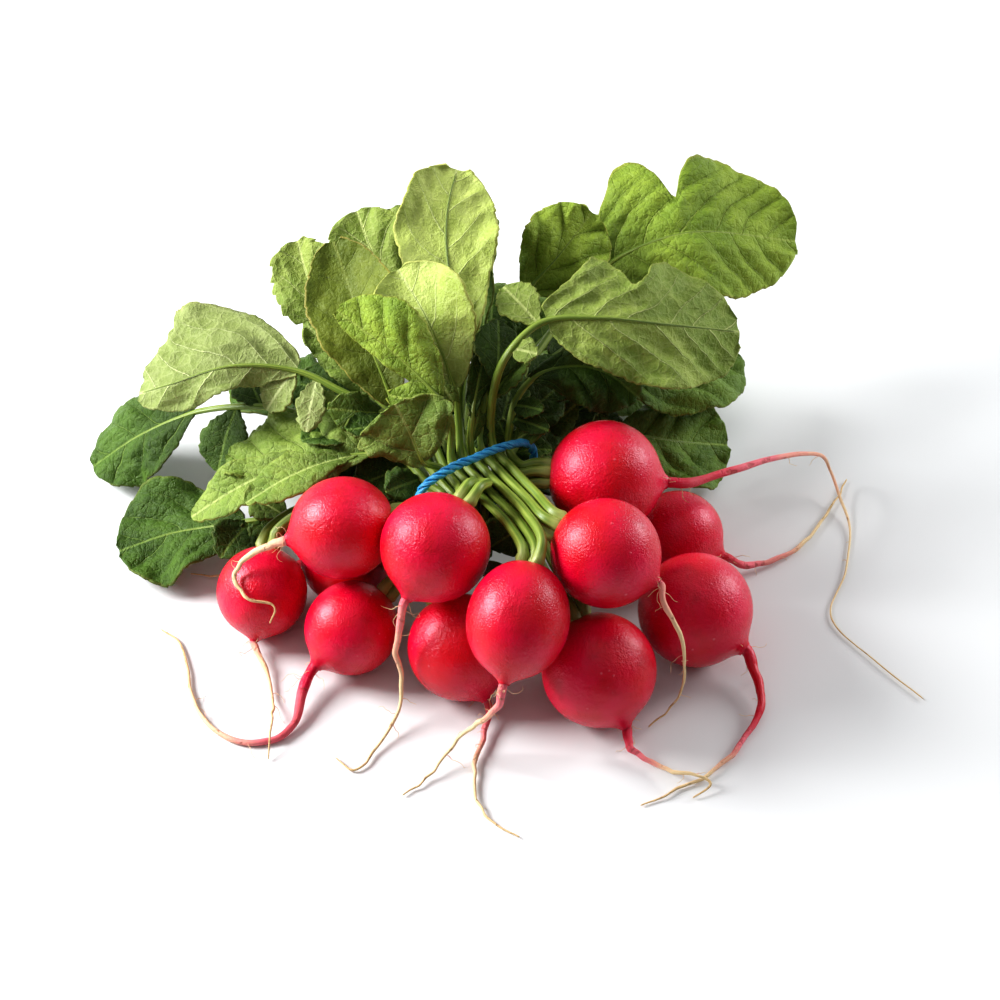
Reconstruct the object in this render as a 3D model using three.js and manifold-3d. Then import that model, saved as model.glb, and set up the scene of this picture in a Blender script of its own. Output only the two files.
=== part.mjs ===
// A bunch of radishes lying on its side: twelve round roots with their tails,
// the leaves that grow from their crowns, and the twisted tie round the leaf stalks.
// Millimetres, +Z up, +X to the right and +Y away from the viewer.
// The origin is the flat spot under the middle radish of the bottom layer.
import * as THREE from 'three';
import { mergeVertices } from 'three/addons/utils/BufferGeometryUtils.js';
import Module from 'manifold-3d';

const wasm = await Module();
wasm.setup();

// Roots
const globeSides = 14;
const tailSides = 7;
const globeRings = 8;
const crownAngle = 14;
const shoulderAngle = 152;
const tailRings = 11;
const longTailRings = 18;
const tailTipRadius = 0.36;
const tailSlimPower = 1.1;
const tailEarlySlim = 0.3;

// Leaf stalks and blades
const gap = 0.35;
const stalkRadius = 1.4;
const stalkTopRadius = 1.05;
const stalkRings = 11;
const bladeRings = 9;
const smallBladeRings = 6;
const bladeThickness = 0.9;
const ribDepth = 1.3;
const teethPerBlade = 4.5;
const bladeFullness = 1.3;
const bladeRoundness = 0.62;
const bladeFoot = 0.02;
const bladeEnd = 0.992;
const leafletRings = 5;
const leafletFoot = 0.7;
const leafletArch = 0.1;
const leafletFold = 0.12;
const leafletRib = 1.3;
const routeSteps = 400;

// The tie and the bundle of stalks that it holds
const tieCentre = new THREE.Vector3(4.3, 45, 37.5);
const tieAcross = new THREE.Vector3(0.855, 0.519, 0).normalize();
const tieAlong = new THREE.Vector3(-0.519, 0.855, 0).normalize();
const tieUp = new THREE.Vector3(0, 0, 1);
const rowHeight = 3.2;
const bundleHalfWidth = 18.8;
const bundleHalfHeight = 9.4;
const tieSteps = 44;
const tieStrandRadius = 1.15;
const bundleSquareness = 2.6;
const tieStandOff = 1.3;
const tieTurns = 11;
const stalkLead = 5;
const crownCrowding = 0.97;

// One radish a row: centre and radius of the globe, its length to width,
// the way its tail leaves it, the tail's route, and a point that its stalks pass.
const radishes = [
  { name: 'radish_01', centre: [-59.6, 23.6, 13.0], radius: 13.7, stretch: 1.0, out: [-0.15, -0.8, -0.58],
    tail: [[-60.8, 8.6, 3.6], [-57.6, 2.0, 2.2], [-55.2, -8, 1.6], [-54.6, -22, 5.0], [-55.2, -31, 0.8]],
    tailRadius: 1.29, pass: [[-50, 42, 27], [-36, 43.5, 30.5], [-20, 35.5, 30.3], [-10.2, 27.6, 32.7]] },
  { name: 'radish_02', centre: [-34.5, 24.0, 40.0], radius: 15.2, stretch: 1.02,
    out: [-0.97, -0.19, -0.12], tail: [[-58.5, 20.5, 34.5], [-64, 20.2, 30], [-66.6, 17, 25.6],
    [-62, 11.6, 22.8], [-55, 10.8, 20.3], [-56.3, 8.4, 15.5]], tailRadius: 1.81, pass: [[-12, 29, 43]] },
  { name: 'radish_03', centre: [-32.4, 9.0, 13.1], radius: 13.9, stretch: 1.02, out: [-0.68, -0.6, -0.42],
    tail: [[-46.5, -8, 4.4], [-48.6, -17.6, 2.0], [-53.4, -23.5, 1.3], [-62.3, -25, 1.1],
    [-71.9, -19.4, 1.0], [-78.3, -9, 1.0], [-81.8, 4.8, 0.9], [-84.3, 13.7, 0.8], [-90.9, 19.9, 0.7]],
    tailRadius: 1.89, pass: [[-13.5, 23.5, 25.5], [-1, 29.5, 31.5]] },
  { name: 'radish_04', centre: [-7.0, 10.0, 46.2], radius: 15.9, stretch: 1.0,
    out: [-0.487, -0.725, -0.49], tail: [[-17.2, -6.4, 30], [-18.4, -8.4, 22], [-17, -10.5, 13],
    [-17.6, -15.2, 6], [-22.1, -23.9, 2], [-30, -34.6, 0.9], [-36.1, -30.1, 0.8]], tailRadius: 1.63,
    pass: [[5, 31, 50]] },
  { name: 'radish_05', centre: [0, 0, 14.6], radius: 15.5, stretch: 1.02, out: [0.43, -0.64, -0.64],
    tail: [[8.1, -16, 2.9], [6.4, -24, 2.0], [4, -34.9, 1.5], [4.6, -44.5, 1.2], [8.6, -53.2, 0.9],
    [17, -59, 0.7]], tailRadius: 1.55, pass: [[2.5, 24, 27.5]] },
  { name: 'radish_06', centre: [16.5, -12.4, 40.0], radius: 14.7, stretch: 1.16,
    out: [-0.215, -0.795, -0.563], tail: [[11.5, -30.5, 25.5], [7.2, -29.5, 17.5], [1.7, -27.6, 9.5],
    [-4.1, -32, 4], [-10.3, -39, 1.2], [-16.4, -44.1, 0.8]], tailRadius: 1.63, pass: [[16.5, 19, 48.5]] },
  { name: 'radish_07', centre: [42.7, 46.2, 38.6], radius: 17.0, stretch: 1.0, out: [0.99, -0.04, -0.06],
    tail: [[68.2, 46.7, 36], [79.2, 53.9, 33.5], [91.3, 63.2, 29], [104.3, 74, 22], [112.7, 80.5, 14],
    [115.3, 81.8, 7.5], [118.2, 74.5, 3.6], [120.8, 63, 1.2], [117.7, 44.1, 0.8], [111.7, 27.4, 0.7],
    [113.1, 20, 0.7], [123, 7.2, 0.7], [136.1, -8.4, 0.7]], tailRadius: 1.98, tailSlim: 2.2,
    tailRings: longTailRings, pass: [] },
  { name: 'radish_08', centre: [41.6, 7.4, 46.4], radius: 15.7, stretch: 1.02, out: [0.85, -0.486, -0.2],
    tail: [[57.4, -4.8, 40.5], [61.2, -8.4, 34], [63.9, -10, 24], [64.4, -11.2, 14], [61.4, -14.5, 5],
    [54.4, -19, 0.9]], tailRadius: 1.29, pass: [[19.5, 29, 46.5]] },
  { name: 'radish_09', centre: [40.2, -10.0, 15.9], radius: 16.7, stretch: 1.0, out: [0.42, -0.64, -0.64],
    tail: [[48.5, -27.5, 3.2], [52.6, -31.6, 2.3], [58, -35.8, 2.6], [66.8, -39.4, 4.4],
    [71.6, -41.4, 2.6], [66, -45, 0.8]], tailRadius: 1.63, pass: [[24.5, 13, 33], [17.5, 29.5, 37]] },
  { name: 'radish_10', centre: [65.8, 47.2, 13.1], radius: 13.7, stretch: 1.0, out: [0.91, -0.3, -0.3],
    tail: [[87.5, 43.6, 3.6], [99.4, 49.2, 2.0], [108.6, 59.4, 1.3], [115.8, 71.7, 1.0],
    [121.7, 84.1, 0.8]], tailRadius: 1.63, pass: [[43.5, 49, 16.5], [31, 41, 22]] },
  { name: 'radish_11', centre: [69.0, 13.2, 16.2], radius: 17.0, stretch: 1.0, out: [0.79, -0.44, -0.44],
    tail: [[86, -0.6, 5.2], [88, -9.5, 3.2], [84.3, -20.1, 2.1], [78.4, -29.5, 1.7], [69.4, -37.8, 1.3],
    [51, -47.7, 0.7]], tailRadius: 1.81, pass: [[43.5, 23, 26], [28, 31, 30]] },
  { name: 'radish_12', centre: [-35.2, 36.6, 12.9], radius: 13.5, stretch: 1.0, out: [-0.95, 0.2, -0.28],
    tail: [[-56, 40.6, 6], [-69.5, 39.4, 3], [-83.7, 42.5, 0.9]], tailRadius: 1.38,
    pass: [[-13, 30, 20.5], [-5.3, 29.5, 25]] },
];

// One leaf a row: the radish it grows from, its place in the tied bundle (row, millimetres across),
// the route of its rib past the tie, where on the route the blade starts, the blade's half width,
// the way its seen face looks, and how it is cupped, waved, toothed, notched or narrowed.
// A leaflet grows at a point counted along the route, to its own tip.
const leaves = [
  { name: 'leaf_left_arched', from: 2, slot: [3, -10.4], route: [[-22, 61, 49.5], [-36.5, 67.6, 54],
    [-48.6, 72.7, 57], [-68.6, 73.2, 59], [-88.6, 72.4, 52], [-98.7, 76, 45]], start: 2, half: 27,
    face: [-0.1, -0.45, 0.9], cup: -0.3, wave: 1.6, narrow: { side: -1, by: 0.3 },
    leaflets: [{ at: 2.1, tip: [-59.1, 67.6, 46], half: 5.5 },
    { at: 1.6, tip: [-46.5, 57, 47], half: 4.5 }], tone: 'pale' },
  { name: 'leaf_left_lobed', from: 2, slot: [2, -12.6], route: [[-24, 60, 40], [-42, 70, 39],
    [-59.6, 79, 36.5], [-83.1, 87.2, 27], [-102, 88.4, 16], [-118, 85.8, 4.5]], start: 3, half: 14.5,
    face: [-0.2, -0.3, 0.93], cup: -0.12, wave: 1.2,
    leaflets: [{ at: 2.45, tip: [-76, 68.5, 19], half: 8.5 }, { at: 2.1, tip: [-67, 93, 38], half: 7 }],
    tone: 'dark' },
  { name: 'leaf_left_floor', from: 1, slot: [1, -14.35], route: [[-22, 50, 25], [-44, 53, 17],
    [-66.1, 52, 14], [-89.9, 52.4, 8.5], [-106, 48.5, 4.5]], start: 2, half: 19, face: [0, -0.2, 0.98],
    cup: 0.1, wave: 2.0, tone: 'dark' },
  { name: 'leaf_left_light', from: 2, slot: [3, -14.4], route: [[-18, 50, 43.5], [-33, 51.5, 43],
    [-52, 56, 39], [-72, 60, 30]], start: 0.6, half: 15, face: [-0.1, -0.3, 0.95], cup: 0.05, wave: 2.2,
    tooth: 0.1, narrow: { side: -1, by: 0.6 }, leaflets: [{ at: 1.5, tip: [-82, 45, 23], half: 8 }],
    tone: 'light' },
  { name: 'leaf_left_toothed', from: 3, slot: [2, -5.4], route: [[-13, 66, 41], [-26.7, 80.1, 47],
    [-38.1, 89.4, 53], [-43.2, 99.9, 58], [-48, 109.4, 64], [-51.3, 119, 70]], start: 2, half: 11.5,
    face: [-0.3, -0.75, 0.6], cup: 0.15, wave: 1.2, tooth: 0.12, tone: 'mid' },
  { name: 'leaf_olive', from: 4, slot: [3, -6.9], route: [[-10, 57, 46.5], [-19, 61.2, 53],
    [-24.3, 68.1, 62], [-30.4, 80.3, 71], [-35.1, 92.8, 78], [-38.8, 101.9, 84]], start: 1, half: 13.5,
    face: [-0.1, -0.75, 0.65], cup: 0.2, wave: 0.8, tone: 'olive' },
  { name: 'leaf_behind_olive', from: 6, slot: [3, -3.6], route: [[-8, 68, 44], [-17, 92, 54],
    [-22, 103, 60], [-28.5, 115, 70], [-33, 126, 76]], start: 2, half: 12.5, face: [0, -0.75, 0.65],
    cup: 0.1, wave: 1.0, tone: 'mid' },
  { name: 'leaf_tallest', from: 6, slot: [3, 0], route: [[-1, 66, 46], [0, 79.2, 58], [-3.1, 92.9, 71],
    [-5, 106.8, 80], [-4.4, 116.2, 86], [-1.7, 127.9, 91]], start: 1, half: 15, face: [0.05, -0.75, 0.65],
    cup: 0.12, wave: 1.4, tone: 'pale' },
  { name: 'leaf_back_peak', from: 9, slot: [2, -1.8], route: [[-6, 76, 40], [-11, 98, 48], [-14, 114, 56],
    [-23, 135, 70]], start: 1, half: 12, face: [0, -0.7, 0.7], cup: 0.1, wave: 1.0, tone: 'mid' },
  { name: 'leaf_edge_on', from: 8, slot: [3, 3.6], route: [[5, 68, 44], [6.5, 90, 54], [7, 104, 66],
    [8.5, 121, 80]], start: 1, half: 8, face: [-0.75, -0.45, 0.3], cup: 0.2, wave: 1.0, tone: 'mid' },
  { name: 'leaf_cupped', from: 4, slot: [4, -1.8], route: [[-1, 56, 52], [-2, 61, 60], [-10, 73.5, 77],
    [-19, 88.5, 84]], start: 1, half: 14, face: [0.1, -0.8, 0.55], cup: 0.35, wave: 0.8, tone: 'mid' },
  { name: 'leaf_folded', from: 4, slot: [4, -5.4], route: [[-3, 52, 55], [-6, 51.5, 65],
    [-19.3, 60.5, 75], [-36.7, 71, 83]], start: 1, half: 14, face: [-0.05, -0.8, 0.6], cup: -0.1,
    wave: 0.8, narrow: { side: -1, by: 0.3 }, leaflets: [{ at: 0.7, tip: [-21.5, 55, 64], half: 5.5 }],
    tone: 'light' },
  { name: 'leaf_by_tie', from: 2, slot: [4, -9.0], route: [[-9.5, 43.5, 46.5], [-11.5, 40.5, 51],
    [-14.3, 44, 57], [-19.2, 49, 66]], start: 0.8, half: 15, full: 1.5, face: [0, -0.72, 0.7], cup: 0.1,
    wave: 1.0, tooth: 0.08, tone: 'dark' },
  { name: 'leaf_right_large', from: 7, slot: [3, 10.8], route: [[14, 72, 45], [27, 98, 50],
    [42.8, 121, 56], [56, 126, 62], [72, 129, 65], [106, 139, 53]], start: 2, half: 25,
    face: [0.1, -0.5, 0.85], cup: -0.12, wave: 2.0, full: 1.05,
    notch: { at: 0.41, depth: 0.55, side: -1 }, narrow: { side: 1, by: 0.85 }, tone: 'bright' },
  { name: 'leaf_right_pale', from: 8, slot: [4, 9.0], route: [[9, 59, 57], [13.2, 63, 72], [24, 70.3, 79],
    [40.7, 70.9, 80], [60, 74, 75], [84.2, 85.2, 62]], start: 2, half: 19.5, face: [0, -0.5, 0.86],
    cup: -0.15, wave: 1.6, full: 1.1, notch: { at: 0.41, depth: 0.4, side: -1 },
    leaflets: [{ at: 1.9, tip: [12.3, 84, 81], half: 6.5 }, { at: 1.2, tip: [22.2, 60.7, 75], half: 4 }],
    tone: 'pale' },
  { name: 'leaf_right_back', from: 9, slot: [2, 5.4], route: [[7, 76, 42], [13, 98, 50], [19, 109.2, 56],
    [30, 117, 66], [40, 128, 74]], start: 2, half: 14, face: [0.1, -0.7, 0.7], cup: 0.15, wave: 1.2,
    tone: 'dark' },
  { name: 'leaf_right_under', from: 11, slot: [1, 10.8], route: [[17, 74, 36], [30, 86, 36], [42, 90, 36],
    [60, 98, 32], [74.7, 107, 28], [87.6, 119.7, 23]], start: 2, half: 16, face: [0.05, -0.3, 0.95],
    cup: -0.12, wave: 1.6, tone: 'dark' },
  { name: 'leaf_right_low', from: 10, slot: [0, 9.0], route: [[22, 72, 31], [34, 84, 26], [48, 84, 22],
    [64.8, 86, 16], [84.1, 93, 7]], start: 2, half: 18, face: [0, -0.35, 0.94], cup: 0.05, wave: 2.0,
    tone: 'dark' },
  { name: 'leaf_right_shaded', from: 7, slot: [2, 12.6], route: [[15.5, 68, 40], [25.1, 78.9, 44],
    [36, 85.8, 46], [47, 90.4, 46], [58.4, 95.1, 43]], start: 1, half: 12, face: [0, -0.5, 0.86],
    cup: -0.1, wave: 1.6, tone: 'dark' },
  { name: 'leaf_right_drooping', from: 7, slot: [3, 14.4], route: [[14.5, 61, 47], [16.5, 65.5, 53],
    [22.5, 70, 58], [32.3, 72, 60], [43, 72, 57.5], [53, 69, 50]], start: 1.7, half: 13,
    face: [-0.1, -0.5, 0.86], cup: -0.1, wave: 1.6, narrow: { side: -1, by: 0.5 },
    leaflets: [{ at: 0.7, tip: [24, 57, 56], half: 3.5 }, { at: 0.2, tip: [26, 54.5, 50], half: 3.2 }],
    tone: 'mid' },
  { name: 'leaf_left_small', from: 1, slot: [2, -9.0], route: [[-15, 58, 43.5], [-24, 67, 48.5],
    [-35, 78, 56], [-47, 88, 62]], start: 1, half: 6, face: [-0.1, -0.6, 0.8], cup: 0.1, wave: 1.0,
    rings: smallBladeRings, tone: 'light' },
  { name: 'leaf_left_crinkled', from: 1, slot: [1, -10.8], route: [[-14, 56, 33], [-27, 64, 31],
    [-38.6, 69.5, 28], [-49.9, 76, 24], [-57, 82, 19]], start: 0.4, half: 12, face: [-0.1, -0.6, 0.8],
    cup: 0.1, wave: 1.5, tone: 'dark' },
  { name: 'leaf_left_inner', from: 3, slot: [1, -7.2], route: [[-10, 64, 36], [-21, 74, 36],
    [-32.4, 83, 33], [-41.7, 89, 33], [-51.3, 96, 31]], start: 1, half: 12, face: [-0.2, -0.6, 0.8],
    cup: 0.1, wave: 1.8, tone: 'dark' },
  { name: 'leaf_back_left_low', from: 12, slot: [0, -9.6], route: [[-17, 69, 27], [-32, 85, 24],
    [-45, 97, 21], [-58, 110, 17], [-70, 125, 10]], start: 2, half: 16, face: [0, -0.1, 1], cup: -0.1,
    wave: 1.6, tone: 'dark' },
  { name: 'leaf_back_low_a', from: 12, slot: [0, -5.1], route: [[-9, 74, 26], [-18, 92, 22],
    [-24, 104, 19], [-31, 120, 14], [-36, 138, 7]], start: 2, half: 15, face: [0, -0.1, 1], cup: -0.1,
    wave: 1.4, tone: 'dark' },
  { name: 'leaf_back_low_b', from: 5, slot: [0, -1.8], route: [[-3, 76, 29], [-5, 94, 29], [-6, 106, 28],
    [-6, 122, 25], [-5, 140, 18]], start: 2, half: 13, face: [0, -0.1, 1], cup: -0.1, wave: 1.4,
    tone: 'dark' },
  { name: 'leaf_back_low_c', from: 5, slot: [0, 1.8], route: [[4, 78, 28], [10, 96, 25], [14, 107, 22],
    [20, 122, 18], [26, 138, 11]], start: 2, half: 14, face: [0, -0.1, 1], cup: -0.1, wave: 1.4,
    tone: 'mid' },
  { name: 'leaf_back_right_low', from: 10, slot: [0, 5.4], route: [[12, 78, 25], [26, 94, 20],
    [35, 103, 16], [47, 116, 11], [58, 131, 6]], start: 2, half: 16, face: [0, -0.1, 1], cup: -0.1,
    wave: 1.6, tone: 'mid' },
  { name: 'leaf_back_mid_a', from: 3, slot: [1, -3.6], route: [[-6, 74, 33], [-14, 92, 35],
    [-19, 104, 37], [-25, 119, 38], [-31, 136, 35]], start: 2, half: 14, face: [0, -0.3, 0.95], cup: -0.1,
    wave: 1.4, tone: 'mid' },
  { name: 'leaf_back_mid_b', from: 5, slot: [1, 0], route: [[0, 76, 35], [1, 94, 41], [1, 106, 44],
    [0, 121, 45], [-2, 139, 42]], start: 2, half: 13, face: [0, -0.3, 0.95], cup: -0.1, wave: 1.4,
    tone: 'mid' },
  { name: 'leaf_back_mid_c', from: 11, slot: [1, 3.6], route: [[7, 76, 33], [16, 94, 36], [22, 104, 38],
    [30, 117, 39], [38, 133, 36]], start: 2, half: 13, face: [0, -0.3, 0.95], cup: -0.1, wave: 1.4,
    tone: 'mid' },
  { name: 'leaf_centre_back', from: 9, slot: [2, 1.8], route: [[2, 74, 42], [6.5, 86, 48], [8.5, 97, 53],
    [9, 108, 58]], start: 1, half: 11, face: [0, -0.7, 0.7], cup: 0.1, wave: 1.0, tone: 'dark' },
  { name: 'leaf_right_inner', from: 7, slot: [2, 9.0], route: [[13, 74, 41], [27, 93, 44], [42, 107, 45],
    [60, 119, 42]], start: 1, half: 13, face: [0, -0.4, 0.9], cup: -0.1, wave: 1.6, tone: 'dark' },
  { name: 'leaf_young_centre', from: 8, slot: [4, 5.4], route: [[5.8, 58, 50], [7, 62, 57], [9, 70.3, 65],
    [13.5, 80.1, 71]], start: 1, half: 6, face: [0.1, -0.7, 0.7], cup: 0.2, wave: 0.8,
    rings: smallBladeRings, tone: 'dark' },
  { name: 'leaf_young_tie', from: 6, slot: [4, 1.8], route: [[2.6, 51.5, 49], [3.1, 54.9, 55],
    [4.9, 62.6, 62], [7, 70.3, 69]], start: 1, half: 3.4, face: [0.3, -0.7, 0.6], cup: 0.15, wave: 0.6,
    rings: smallBladeRings, tone: 'dark' },
];

const tones = {
  pale: 0xb3c07a,
  light: 0x9bb454,
  bright: 0x8aa040,
  mid: 0x78903c,
  olive: 0x6d7733,
  dark: 0x4b6d30,
};

const vec = (p) => new THREE.Vector3(p[0], p[1], p[2]);

function solid(name, vertices, faces, colour, roughness) {
  const geometry = new THREE.BufferGeometry();
  geometry.setAttribute('position', new THREE.Float32BufferAttribute(vertices, 3));
  geometry.setIndex(faces);
  geometry.computeVertexNormals();
  const material = new THREE.MeshStandardMaterial({ color: colour, roughness, metalness: 0 });
  const mesh = new THREE.Mesh(geometry, material);
  mesh.name = name;
  return mesh;
}

// Turns a closed triangle list into a manifold solid, and back into a mesh.
function toManifold(vertices, faces) {
  let geometry = new THREE.BufferGeometry();
  geometry.setAttribute('position', new THREE.Float32BufferAttribute(vertices, 3));
  geometry.setIndex(faces);
  geometry = mergeVertices(geometry);
  return new wasm.Manifold(new wasm.Mesh({
    numProp: 3,
    vertProperties: new Float32Array(geometry.attributes.position.array),
    triVerts: new Uint32Array(geometry.index.array),
  }));
}

function fromManifold(name, manifold, colour, roughness) {
  const mesh = manifold.getMesh();
  return solid(name, Array.from(mesh.vertProperties), Array.from(mesh.triVerts), colour, roughness);
}

// A ring of points round a centre, in the plane of two unit vectors.
function ringPoints(centre, radius, u, v, count) {
  const points = [];
  for (let i = 0; i < count; i++) {
    const angle = (2 * Math.PI * i) / count;
    points.push(centre.clone().addScaledVector(u, radius * Math.cos(angle))
      .addScaledVector(v, radius * Math.sin(angle)));
  }
  return points;
}

// Joins rings that have as many points as the one before, or half as many, and closes both ends.
// The lower half of a thin blade is split along the same lines as its upper half.
function loftRings(rings, thin = false) {
  const vertices = [];
  const faces = [];
  const starts = rings.map((ring) => {
    const start = vertices.length / 3;
    ring.forEach((p) => vertices.push(p.x, p.y, p.z));
    return start;
  });
  for (let i = 0; i + 1 < rings.length; i++) {
    const count = rings[i].length;
    const next = rings[i + 1].length;
    for (let j = 0; j < next; j++) {
      const b0 = starts[i + 1] + j;
      const b1 = starts[i + 1] + ((j + 1) % next);
      if (next !== count) {
        const a0 = starts[i] + 2 * j;
        const a1 = a0 + 1;
        const a2 = starts[i] + ((2 * j + 2) % count);
        faces.push(a0, a1, b0, a1, b1, b0, a1, a2, b1);
        continue;
      }
      const a0 = starts[i] + j;
      const a1 = starts[i] + ((j + 1) % count);
      if (thin && j >= count / 2) {
        faces.push(a0, a1, b0, a1, b1, b0);
      } else {
        faces.push(a0, a1, b1, a0, b1, b0);
      }
    }
  }
  if (thin) {
    closeThinEnd(faces, rings[0].length);
  } else {
    closeEnd(vertices, faces, rings[0], 0, true);
  }
  closeEnd(vertices, faces, rings[rings.length - 1], starts[rings.length - 1], false);
  return { vertices, faces };
}

function closeEnd(vertices, faces, ring, start, first) {
  const centre = ring.reduce((sum, p) => sum.add(p), new THREE.Vector3()).divideScalar(ring.length);
  const hub = vertices.length / 3;
  vertices.push(centre.x, centre.y, centre.z);
  for (let j = 0; j < ring.length; j++) {
    const a = start + j;
    const b = start + ((j + 1) % ring.length);
    faces.push(...(first ? [hub, b, a] : [hub, a, b]));
  }
}

// The tip of a blade is a thin slot, closed straight across from its upper to its lower edge.
function closeThinEnd(faces, count) {
  for (let j = 0; j + 1 < count / 2; j++) {
    const below = count - 1 - j;
    faces.push(j, below, below - 1, j, below - 1, j + 1);
  }
}

// Carries a pair of side vectors along to a new direction without twisting them.
function carried(side, direction) {
  return side.clone().addScaledVector(direction, -side.dot(direction)).normalize();
}

function anySide(direction) {
  const reference = Math.abs(direction.z) < 0.9 ? new THREE.Vector3(0, 0, 1) : new THREE.Vector3(1, 0, 0);
  return new THREE.Vector3().crossVectors(reference, direction).normalize();
}

// The globe is turned about the line from crown to tail, and runs on into the tail in one skin.
function radishRings(radish) {
  const centre = vec(radish.centre);
  const out = vec(radish.out).normalize();
  let u = anySide(out);
  let v = new THREE.Vector3().crossVectors(out, u);
  const rings = [];
  for (let i = 0; i <= globeRings; i++) {
    const angle = THREE.MathUtils.degToRad(crownAngle + ((shoulderAngle - crownAngle) * i) / globeRings);
    const along = -Math.cos(angle) * radish.radius * radish.stretch;
    rings.push(ringPoints(centre.clone().addScaledVector(out, along), Math.sin(angle) * radish.radius,
      u, v, globeSides));
  }
  const length = radish.radius * radish.stretch;
  const neck = centre.clone().addScaledVector(out, length * 1.14);
  rings.push(ringPoints(centre.clone().addScaledVector(out, length * 1.0), radish.tailRadius * 1.75,
    u, v, globeSides));
  const route = new THREE.CatmullRomCurve3([centre.clone().addScaledVector(out, length * 0.98), neck,
    ...radish.tail.map(vec)], false, 'centripetal');
  const steps = radish.tailRings ?? tailRings;
  for (let i = 1; i <= steps; i++) {
    const t = (i / steps) ** 1.15;
    const direction = route.getTangentAt(t);
    u = carried(u, direction);
    v = new THREE.Vector3().crossVectors(direction, u);
    const slim = (1 - t) ** (radish.tailSlim ?? tailSlimPower) * (1 - tailEarlySlim * t * (1 - t) * 4);
    const radius = tailTipRadius + (radish.tailRadius - tailTipRadius) * slim;
    const middle = route.getPointAt(t);
    middle.z = Math.max(middle.z, radius + 0.05);
    rings.push(ringPoints(middle, radius, u, v, tailSides));
  }
  return rings;
}

// A root that lies on the surface is cut level there, so that it rests on a small flat spot.
function radishRoot(radish) {
  const rings = radishRings(radish);
  const { vertices, faces } = loftRings(rings);
  let body = toManifold(vertices, faces);
  if (radish.centre[2] < radish.radius) {
    body = body.trimByPlane([0, 0, 1], 0);
  }
  return fromManifold(radish.name, body, 0xca1d24, 0.35);
}

// Where a stalk stands in the tied bundle: millimetres across it and up it from its middle.
function slotOffset(slot) {
  return new THREE.Vector2(slot[1], (slot[0] - 2) * rowHeight);
}

function slotPoint(slot) {
  const offset = slotOffset(slot);
  return tieCentre.clone().addScaledVector(tieAcross, offset.x).addScaledVector(tieUp, offset.y);
}

// The stalks of one radish run side by side from its crown to the tie: each keeps its offset,
// across and up, from the line that the middle of them follows.
function stalkGuide(radish) {
  const out = vec(radish.out).normalize();
  const foot = vec(radish.centre).addScaledVector(out, -(radish.radius * radish.stretch + gap));
  const entry = tieCentre.clone().addScaledVector(tieAcross, radish.slotMean.x)
    .addScaledVector(tieUp, radish.slotMean.y).addScaledVector(tieAlong, -stalkLead);
  return [foot, foot.clone().addScaledVector(out, -3.5), ...radish.pass.map(vec), entry];
}

function leafRoute(leaf, radish) {
  const guide = stalkGuide(radish);
  const slot = slotOffset(leaf.slot).sub(radish.slotMean);
  const points = guide.map((point, i) => {
    const before = guide[Math.max(i - 1, 0)];
    const after = i + 1 < guide.length ? guide[i + 1] : point.clone().addScaledVector(tieAlong, stalkLead);
    const direction = after.clone().sub(before).normalize();
    const sideways = new THREE.Vector3().crossVectors(direction, tieUp).normalize();
    const upward = new THREE.Vector3().crossVectors(sideways, direction);
    const close = i < guide.length - 1 ? crownCrowding : 1;
    return point.clone().addScaledVector(sideways, slot.x * close).addScaledVector(upward, slot.y * close);
  });
  points.push(slotPoint(leaf.slot).addScaledVector(tieAlong, stalkLead));
  leaf.route.forEach((p) => points.push(vec(p)));
  return points;
}

// Outline of the blade: half the width at t from 0 at its foot to 1 at its tip, for one side.
function bladeHalf(leaf, t, side) {
  let width = Math.sin(Math.PI * t ** (leaf.full ?? bladeFullness)) ** bladeRoundness;
  if (leaf.narrow && Math.sign(side) === leaf.narrow.side) {
    width *= leaf.narrow.by;
  }
  if (leaf.notch && Math.sign(side) === leaf.notch.side) {
    width *= 1 - leaf.notch.depth * Math.exp(-(((t - leaf.notch.at) / 0.08) ** 2));
  }
  const saw = Math.abs(((t * teethPerBlade) % 1) - 0.5) * 2;
  width *= 1 + (leaf.tooth ?? 0.05) * (saw - 0.5) * 2;
  return Math.max(width * leaf.half, stalkTopRadius);
}

// Height of the blade over its rib, at u from -1 to 1 across it.
function bladeHeight(leaf, t, u, width) {
  const edge = Math.abs(u);
  const phase = u < 0 ? 0.3 : 0;
  const ripple = Math.sin(2 * Math.PI * (2.1 * t + phase)) * leaf.wave * edge ** 1.5;
  return leaf.cup * edge ** 2 * width + ripple;
}

const across = [1, 0.5, 0, -0.5, -1];
const stalkAngles = [18, 90, 162, 234, 306].map(THREE.MathUtils.degToRad);

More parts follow.
